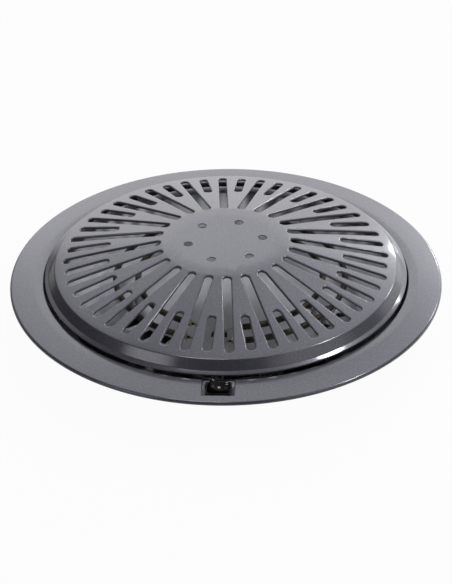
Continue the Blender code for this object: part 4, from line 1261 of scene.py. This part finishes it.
def screw_mesh(spot, shank, angle):
    """A pan-head screw with a cross recess; a shank of zero leaves the head alone."""
    head, crown, side, height, radius = 0.0038, 0.0022, 0.0008, 0.0024, 0.0018
    profile = [(0, height, 0), (crown, height, 0.0012), (head, side, 0.0006), (head, 0, 0)]
    profile += [(radius, 0, 0), (radius, -shank, 0)] if shank else []
    profile += [(0, -shank, 0)]
    mesh = mesh_of("screw", [moved(lathe(bent_line(profile, steps=4), steps=32), spot)])
    reach, edge, floor, over = 0.0020, 0.0004, 0.0012, 0.0035
    blade = soft_box(-reach, reach, -edge, edge, floor, over, edge / 2)
    way = spot @ turned(math.radians(angle))
    return cut(mesh, [[moved(blade, way)], [moved(blade, way @ turned(math.pi / 2))]])


class BrazierWires(bpy.types.Operator):
    """Lays the sleeved wires between elements, switch, block and cut-out."""

    bl_idname = "brazier.wires"
    bl_label = "Wires"

    def execute(self, context):
        size = context.scene.brazier_heat
        pale = finish_for(context, "glass_fibre_sleeve", braided_sleeve, "sleeve")
        green = finish_for(context, "green_sleeve", braided_sleeve, "earth")
        for name, route in self.routes(context, size).items():
            sleeve, slot = (green, "earth_green") if name == "earth_wire" else (pale, "glass_fibre")
            shell = tube(smooth_route(route), size.wire_radius)
            piece(f"sleeved_{name}", mesh_of(name, [shell]), sleeve, [name])
        return {"FINISHED"}

    def routes(self, context, size):
        """Each wire's points: straight out of one terminal, past chosen places, straight into the next."""
        gauge = 2 * size.wire_radius
        floor = size.dish_floor_height
        middles = [((low + high) / 2, high.y + seat_gap) for low, high in blade_boxes]
        blades = [(middle.x, back, middle.z) for middle, back in middles]
        past_wall = -(context.scene.brazier_pan.well_radius + dish_high.x) / 2
        window_y = -(size.dish_floor_radius + size.dish_rim_inner) / 2
        window_low = floor + wire_window[0]
        window_z = floor + sum(wire_window) / 2
        tips = []
        for spot, _, way in ring_ends(size):
            tip = spot + way * (size.pin_length + seat_gap)
            tips.append([tuple(tip), tuple(tip + way * gauge)])
        inner_left, inner_right, outer_left, outer_right = tips

        def via(*shares):
            """Points given in shares of the dish floor's radius, twice, and of its height."""
            return [(x * size.dish_floor_radius, y * size.dish_floor_radius, z * floor) for x, y, z in shares]

        def into_blade(number):
            x, y, z = blades[number]
            return [(x, y + gauge * 2, z), (x, y, z)]

        block_x = (block_low.x + block_high.x) / 2
        clamp_share = 0.65
        out_z = block_low.z + clamp_share * (block_high.z - block_low.z)
        clamp_pitch = 0.0090

        def into_block(clamp):
            x, y = block_x + clamp * clamp_pitch, block_low.y - seat_gap
            return [(x, y - gauge * 2, out_z), (x, y, out_z)]

        cut_low, cut_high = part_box("thermal_cutout")
        cut_y = (cut_low.y + cut_high.y) / 2
        tab_rise = 0.0024
        tab_z = cut_low.z + tab_rise
        right, left = cut_high.x + seat_gap, cut_low.x - seat_gap
        hole_x, hole_y = return_hole(size)
        screw_x, screw_y = earth_middle.x, earth_high.y + 2 * seat_gap
        bond_x, bond_y = earth_hole()
        lug = earth_low.z
        block_side = block_high.y + seat_gap
        return {
            "lead_inner": [
                *inner_right, *via((-0.032, -0.865, 1.444), (-0.038, -1.026, 1.306)),
                (blades[1][0] - size.wire_radius, window_y, window_z), (blades[1][0], past_wall, window_low),
                *into_blade(1),
            ],
            "lead_outer": [
                *outer_right, *via((0.032, -1.026, 1.389)),
                (blades[2][0], window_y, window_z), (blades[2][0], past_wall, window_low), *into_blade(2),
            ],
            "return_outer": [
                *outer_left,
                *via((-0.192, -1.000, 1.361), (-0.109, -1.167, 1.285)),
                *via((-0.026, -1.321, 1.056), (0.256, -1.256, 0.944)),
                *into_block(0),
            ],
            "return_inner": [
                *inner_left, (hole_x + gauge, hole_y, 1.306 * floor), (hole_x, hole_y, floor),
                (hole_x, hole_y, 0.833 * floor), (right + gauge * 3, cut_y - gauge * 2, tab_z),
                (right + gauge, cut_y, tab_z), (right, cut_y, tab_z),
            ],
            "cutout_wire": [
                (left, cut_y, tab_z), (left - gauge, cut_y, tab_z),
                *via((-0.496, -0.654, 0.556), (-0.256, -1.026, 0.417), (0.128, -1.141, 0.389)),
                *into_block(-1),
            ],
            "supply_wire": [
                *into_block(1)[::-1],
                *via((0.410, -1.218, 0.375), (0.282, -1.359, 0.639), (0.128, -1.449, 0.944)), *into_blade(3),
            ],
            "earth_wire": [
                (screw_x, screw_y, lug + gauge / 2), (screw_x, screw_y + gauge, lug + gauge * 0.75),
                (bond_x, bond_y, floor), (bond_x + gauge, bond_y, 0.833 * floor),
                (block_x, block_side + gauge * 3, 0.611 * floor), (block_x, block_side + gauge, out_z),
                (block_x, block_side, out_z),
            ],
        }


class BrazierSwitch(bpy.types.Operator):
    """Moulds the housing, rocker and lenses, and softens the tray, guard, blades, block and cut-out."""

    bl_idname = "brazier.switch"
    bl_label = "Rocker switch"

    def execute(self, context):
        size = context.scene.brazier_switch
        softened("folded_tray", "switch_tray", 0.0003, paint(context))
        softened("folded_guard", "switch_guard", 0.0004, paint(context))
        softened("connector_block", "terminal_block", 0.0004, steatite(context))
        softened("disc_cutout", "thermal_cutout", 0.0002, steatite(context))
        for number in range(1, 5):
            softened(f"blade_{number}", f"switch_terminal_{number}", 0.0001, bare_brass(context))
        self.housing(size, finish_for(context, "black_moulding", moulded_black, "black", roughness=0.38))
        self.rocker(size, context.scene.brazier_colours)
        return {"FINISHED"}

    def housing(self, size, black):
        """Rounded rectangles stacked from the case's floor, over the bezel and down into the cavity."""
        top = housing_high.z
        seat = top - size.bezel_height
        low = housing_low.z
        edge, body_edge, bezel_edge = 0.0006, 0.0004, 0.0002
        cavity_floor = top - 0.0112
        bezel = (size.bezel_width, size.bezel_depth, 0.0020)
        body = (0.0282, 0.0216, 0.0008)
        cavity = (0.0262, 0.0192, 0.0008)
        mouth = (cavity[0] + 2 * edge, cavity[1] + 2 * edge, cavity[2] + edge)
        least_corner = 0.0003

        def slab(shape, trim, height):
            width, depth, corner = shape
            corner = max(corner - trim, least_corner)
            return soft_rectangle(width - 2 * trim, depth - 2 * trim, corner), height

        turns = np.radians((0, 30, 60, 90))
        over = [slab(bezel, edge * (1 - math.cos(a)), top - edge * (1 - math.sin(a))) for a in turns]
        rim = [slab(mouth, edge * math.sin(a), top - edge * (1 - math.cos(a))) for a in turns]
        rows = [
            slab(body, body_edge, low),
            slab(body, 0, low + body_edge),
            slab(body, 0, seat),
            slab(bezel, bezel_edge, seat),
            slab(bezel, 0, seat + bezel_edge),
            *over,
            *rim,
            slab(cavity, 0, cavity_floor),
        ]
        middle = np.zeros_like(rows[0][0])
        rows = [(middle, low), *rows, (middle, cavity_floor)]
        shell = moved(stacked(rows), at(0, rocker_joint.y, 0))
        piece("switch_case", mesh_of("switch_case", [shell]), black, ["switch_housing"])

    def rocker(self, size, colours):
        """The rocker's outline drawn along its axis with softened ends, tipped to its rest position."""
        tip = math.radians(9)
        pose = Matrix.Translation(rocker_joint) @ turned(tip, "Y")
        mesh = mesh_of("tipping_rocker", [moved(self.wings(size), pose @ turned(math.pi / 2, "X"))])
        lamp_x, lamp_y = 0.0068, -0.0040
        slope = math.atan2(size.crest_height - valley_height, size.crest_x - valley_x)
        height = valley_height + math.tan(slope) * (lamp_x - valley_x)
        spots = [pose @ at(side * lamp_x, lamp_y, height) @ turned(-side * slope, "Y") for side in (-1, 1)]
        pocket = prism(ring_outline(size.lens_radius + seat_gap, steps=40), low=-0.0010, high=0.0040)
        mesh = cut(mesh, [[moved(pocket, spot)] for spot in spots])
        satin = marked_rocker("marked_rocker", tuple(colours.black), tuple(colours.marks), pose)
        piece("tipping_rocker", mesh, satin, ["switch_rocker"], "rocker")
        radius, brim, foot = size.lens_radius, -0.0002, -0.0007
        lens = bent_line([(0, 0, 0), (radius, brim, 0.0003), (radius, foot, 0), (0, foot, 0)], steps=4)
        tones = {"red": colours.red_lens, "smoke": colours.smoke_lens}
        for number, (tone, spot) in enumerate(zip(tones, spots), 1):
            glass = lamp_lens(f"{tone}_lens", tuple(tones[tone]))
            name = f"{tone}_lamp"
            mesh = mesh_of(name, [moved(lathe(lens, steps=40), spot)])
            piece(name, mesh, glass, [f"lamp_lens_{number}"], "rocker")

    def wings(self, size):
        """The V-shaped outline with its ends drawn in along a quarter circle."""
        right = [
            (0.0080, -0.0035, 0.0006), (0.0120, 0.0045, 0.0008), (size.crest_x, size.crest_height, 0.0012),
            (valley_x, valley_height, 0.0040),
        ]
        corners = right + [(0, 0.0061, 0.0030)] + [(-x, z, bend) for x, z, bend in right[::-1]]
        last = (*corners[-1][:2], 0)
        outline = bent_line([last, *corners[:-1], last], steps=5)[1:]
        middle = np.array([0.0, 0.0030])
        half, soft, mean_radius = size.rocker_depth / 2, 0.0007, 0.0090
        rows = []
        for a in np.radians((0, 30, 60, 90)):
            shrink = 1 - soft * (1 - math.sin(a)) / mean_radius
            rows.append((middle + (outline - middle) * shrink, -half + soft * (1 - math.cos(a))))
        rows += [(flat, -place) for flat, place in rows[::-1]]
        fan = np.broadcast_to(middle, outline.shape)
        return stacked([(fan, -half), *rows, (fan, half)])


# Where a wing of the rocker bends into its valley
valley_x, valley_height = 0.0034, 0.0068


class BrazierStage(bpy.types.Operator):
    """Sets the floor, the soft studio light, the white surround and the camera."""

    bl_idname = "brazier.stage"
    bl_label = "Stage"

    def execute(self, context):
        scene = context.scene
        scene.view_settings.view_transform = "Standard"
        self.floor()
        self.surround(scene)
        self.lights()
        self.camera(scene)
        return {"FINISHED"}

    def floor(self):
        """A pale floor, nearly white to the camera and, in its back right part, to reflections."""
        half = 6.0
        points = np.array([[[-half, -half, 0], [half, -half, 0]], [[-half, half, 0], [half, half, 0]]], float)
        points, quads = grid(points, wrap=False)
        mesh = bpy.data.meshes.new("floor")
        mesh.from_pydata(points.tolist(), [], quads.tolist())
        finish = Finish("pale_floor", (0.86, 0.86, 0.86), roughness=0.8)
        cloud = finish.noise(3.0, 2.0)
        finish.set("Base Color", finish.mix(cloud, finish.base, finish.tint(1.02)))
        white = finish.node("ShaderNodeEmission", {}, {"Color": (1, 1, 1, 1), "Strength": 1.0})
        x, y = finish.axes(finish.place())[:2]
        rightwards, backwards = 0.5, 0.87
        bright = ((rightwards * x + backwards * y) / (x * x + y * y).root()).step(0.2, 0.8)
        share = 0.96 * finish.ray("Camera").most(bright * finish.ray("Glossy", "Transmission"))
        lit = Signal(finish, finish.shader.outputs[0])
        finish.shown(finish.node("ShaderNodeMixShader", {}, {0: share, 1: lit, 2: white}))
        mesh.materials.append(finish.material)
        placed("floor", mesh)

    def surround(self, scene):
        """White to the camera. The light comes in soft glows, the strongest low down behind the brazier."""
        world = bpy.data.worlds.new("surround")
        scene.world = world
        world.use_nodes = True
        sky = Shading(world.node_tree)
        axes = sky.axes(sky.node("ShaderNodeTexCoord", {}, {}, "Generated"))

        def glow(azimuth, elevation, reach):
            """1 in a direction, falling to 0 at an angle from it; all three in degrees."""
            side, height = math.radians(azimuth), math.radians(elevation)
            way = (math.cos(side) * math.cos(height), math.sin(side) * math.cos(height), math.sin(height))
            reach = math.radians(reach)
            along = sum(axis * share for axis, share in zip(axes, way))
            return along.step(math.cos(reach), math.cos(reach / 4))

        glows = (
            (90, 8, 30, 1.60), (90, 35, 30, 0.50), (66, 18, 26, 0.70), (120, 35, 30, 0.40),
            (60, 62, 30, 0.40), (38, 8, 24, 0.60), (4, 23, 20, 0.10), (-30, 35, 30, 0.50),
            (-141, 37, 17, 1.20),
        )
        everywhere = 0.015
        light = everywhere + sum(strength * glow(*place) for *place, strength in glows)
        seen = sky.ray("Camera").most(glow(90, 8, 30) * sky.ray("Glossy", "Transmission"))
        dim = sky.node("ShaderNodeBackground", {}, {"Color": (0.96, 0.97, 1.0, 1.0), "Strength": light})
        white = sky.node("ShaderNodeBackground", {}, {"Color": (1, 1, 1, 1), "Strength": 1.0})
        sky.shown(sky.node("ShaderNodeMixShader", {}, {0: seen, 1: dim, 2: white}))

    def lights(self):
        """Small square lamps aimed at the brazier: name, place, way of a side, width and power."""
        target = Vector((0, 0, 0.05))
        for name, place, run, width, power in (
            ("side", (0.80, 0.17, 1.39), (0, 1, 0), 0.20, 3.6),
            ("low_side", (1.29, 1.38, 1.18), (0, 0, 1), 0.24, 3.2),
            ("low_back", (0.91, 1.86, 0.80), (0, 0, 1), 0.24, 2.4),
            ("overhead", (-0.15, 0.0, 1.25), (1, 0, 0), 0.30, 1.1),
        ):
            light = bpy.data.lights.new(name, "AREA")
            light.shape = "SQUARE"
            light.size = width
            light.energy = power
            back = (Vector(place) - target).normalized()
            side = (Vector(run) - back * back.dot(Vector(run))).normalized()
            item = placed(name, light)
            item.location = place
            item.rotation_euler = Matrix((side, back.cross(side), back)).transposed().to_euler()

    def camera(self, scene):
        """The camera of the photograph: its distance, turn, tilt, roll and frame."""
        focal_pixels = 1769.1
        image_width, image_height = 452, 584
        aim_pixel = (225.8, 275.0)
        turn_about, elevation, distance = math.radians(2.4), math.radians(32.78), 2.306
        roll = math.radians(-0.70)
        aim = Vector((0, 0, 0.056))
        back = Vector((*polar(math.cos(elevation), turn_about - math.pi / 2), math.sin(elevation)))
        data = bpy.data.cameras.new("camera")
        data.sensor_width = 36.0
        data.lens = data.sensor_width * focal_pixels / image_height
        data.shift_x = (image_width / 2 - aim_pixel[0]) / image_height
        data.shift_y = (aim_pixel[1] - image_height / 2) / image_height
        data.clip_start, data.clip_end = 0.1, 50.0
        item = placed("camera", data)
        item.rotation_mode = "QUATERNION"
        item.location = aim + back * distance
        item.rotation_quaternion = (-back).to_track_quat("-Z", "Y") @ turned(roll).to_quaternion()
        scene.camera = item


groups = {
    "brazier_pan": BrazierPanSizes,
    "brazier_cover": BrazierCoverSizes,
    "brazier_heat": BrazierHeatSizes,
    "brazier_switch": BrazierSwitchSizes,
    "brazier_colours": BrazierColours,
}
operators = (
    BrazierPan, BrazierFeet, BrazierDish, BrazierElements, BrazierBrackets,
    BrazierWires, BrazierSwitch, BrazierCover, BrazierStage,
)


class BrazierPanel(bpy.types.Panel):
    """Lists the sizes, the colours and the building steps."""

    bl_idname = "VIEW3D_PT_brazier"
    bl_label = "Electric brazier"
    bl_space_type = "VIEW_3D"
    bl_region_type = "UI"
    bl_category = "Brazier"

    def draw(self, context):
        for name, group in groups.items():
            box = self.layout.box()
            for key in group.__annotations__:
                box.prop(getattr(context.scene, name), key)
        for operator in operators:
            self.layout.operator(operator.bl_idname)


def register():
    for made in (*groups.values(), *operators, BrazierPanel):
        bpy.utils.register_class(made)
    for name, group in groups.items():
        setattr(bpy.types.Scene, name, PointerProperty(type=group))


def unregister():
    for name in groups:
        delattr(bpy.types.Scene, name)
    for made in (BrazierPanel, *operators[::-1], *list(groups.values())[::-1]):
        bpy.utils.unregister_class(made)


def main():
    register()
    bpy.ops.brazier.pan()
    bpy.ops.brazier.feet()
    bpy.ops.brazier.dish()
    bpy.ops.brazier.elements()
    bpy.ops.brazier.brackets()
    bpy.ops.brazier.wires()
    bpy.ops.brazier.switch()
    bpy.ops.brazier.cover()
    bpy.ops.brazier.stage()


if __name__ == "__main__":
    main()
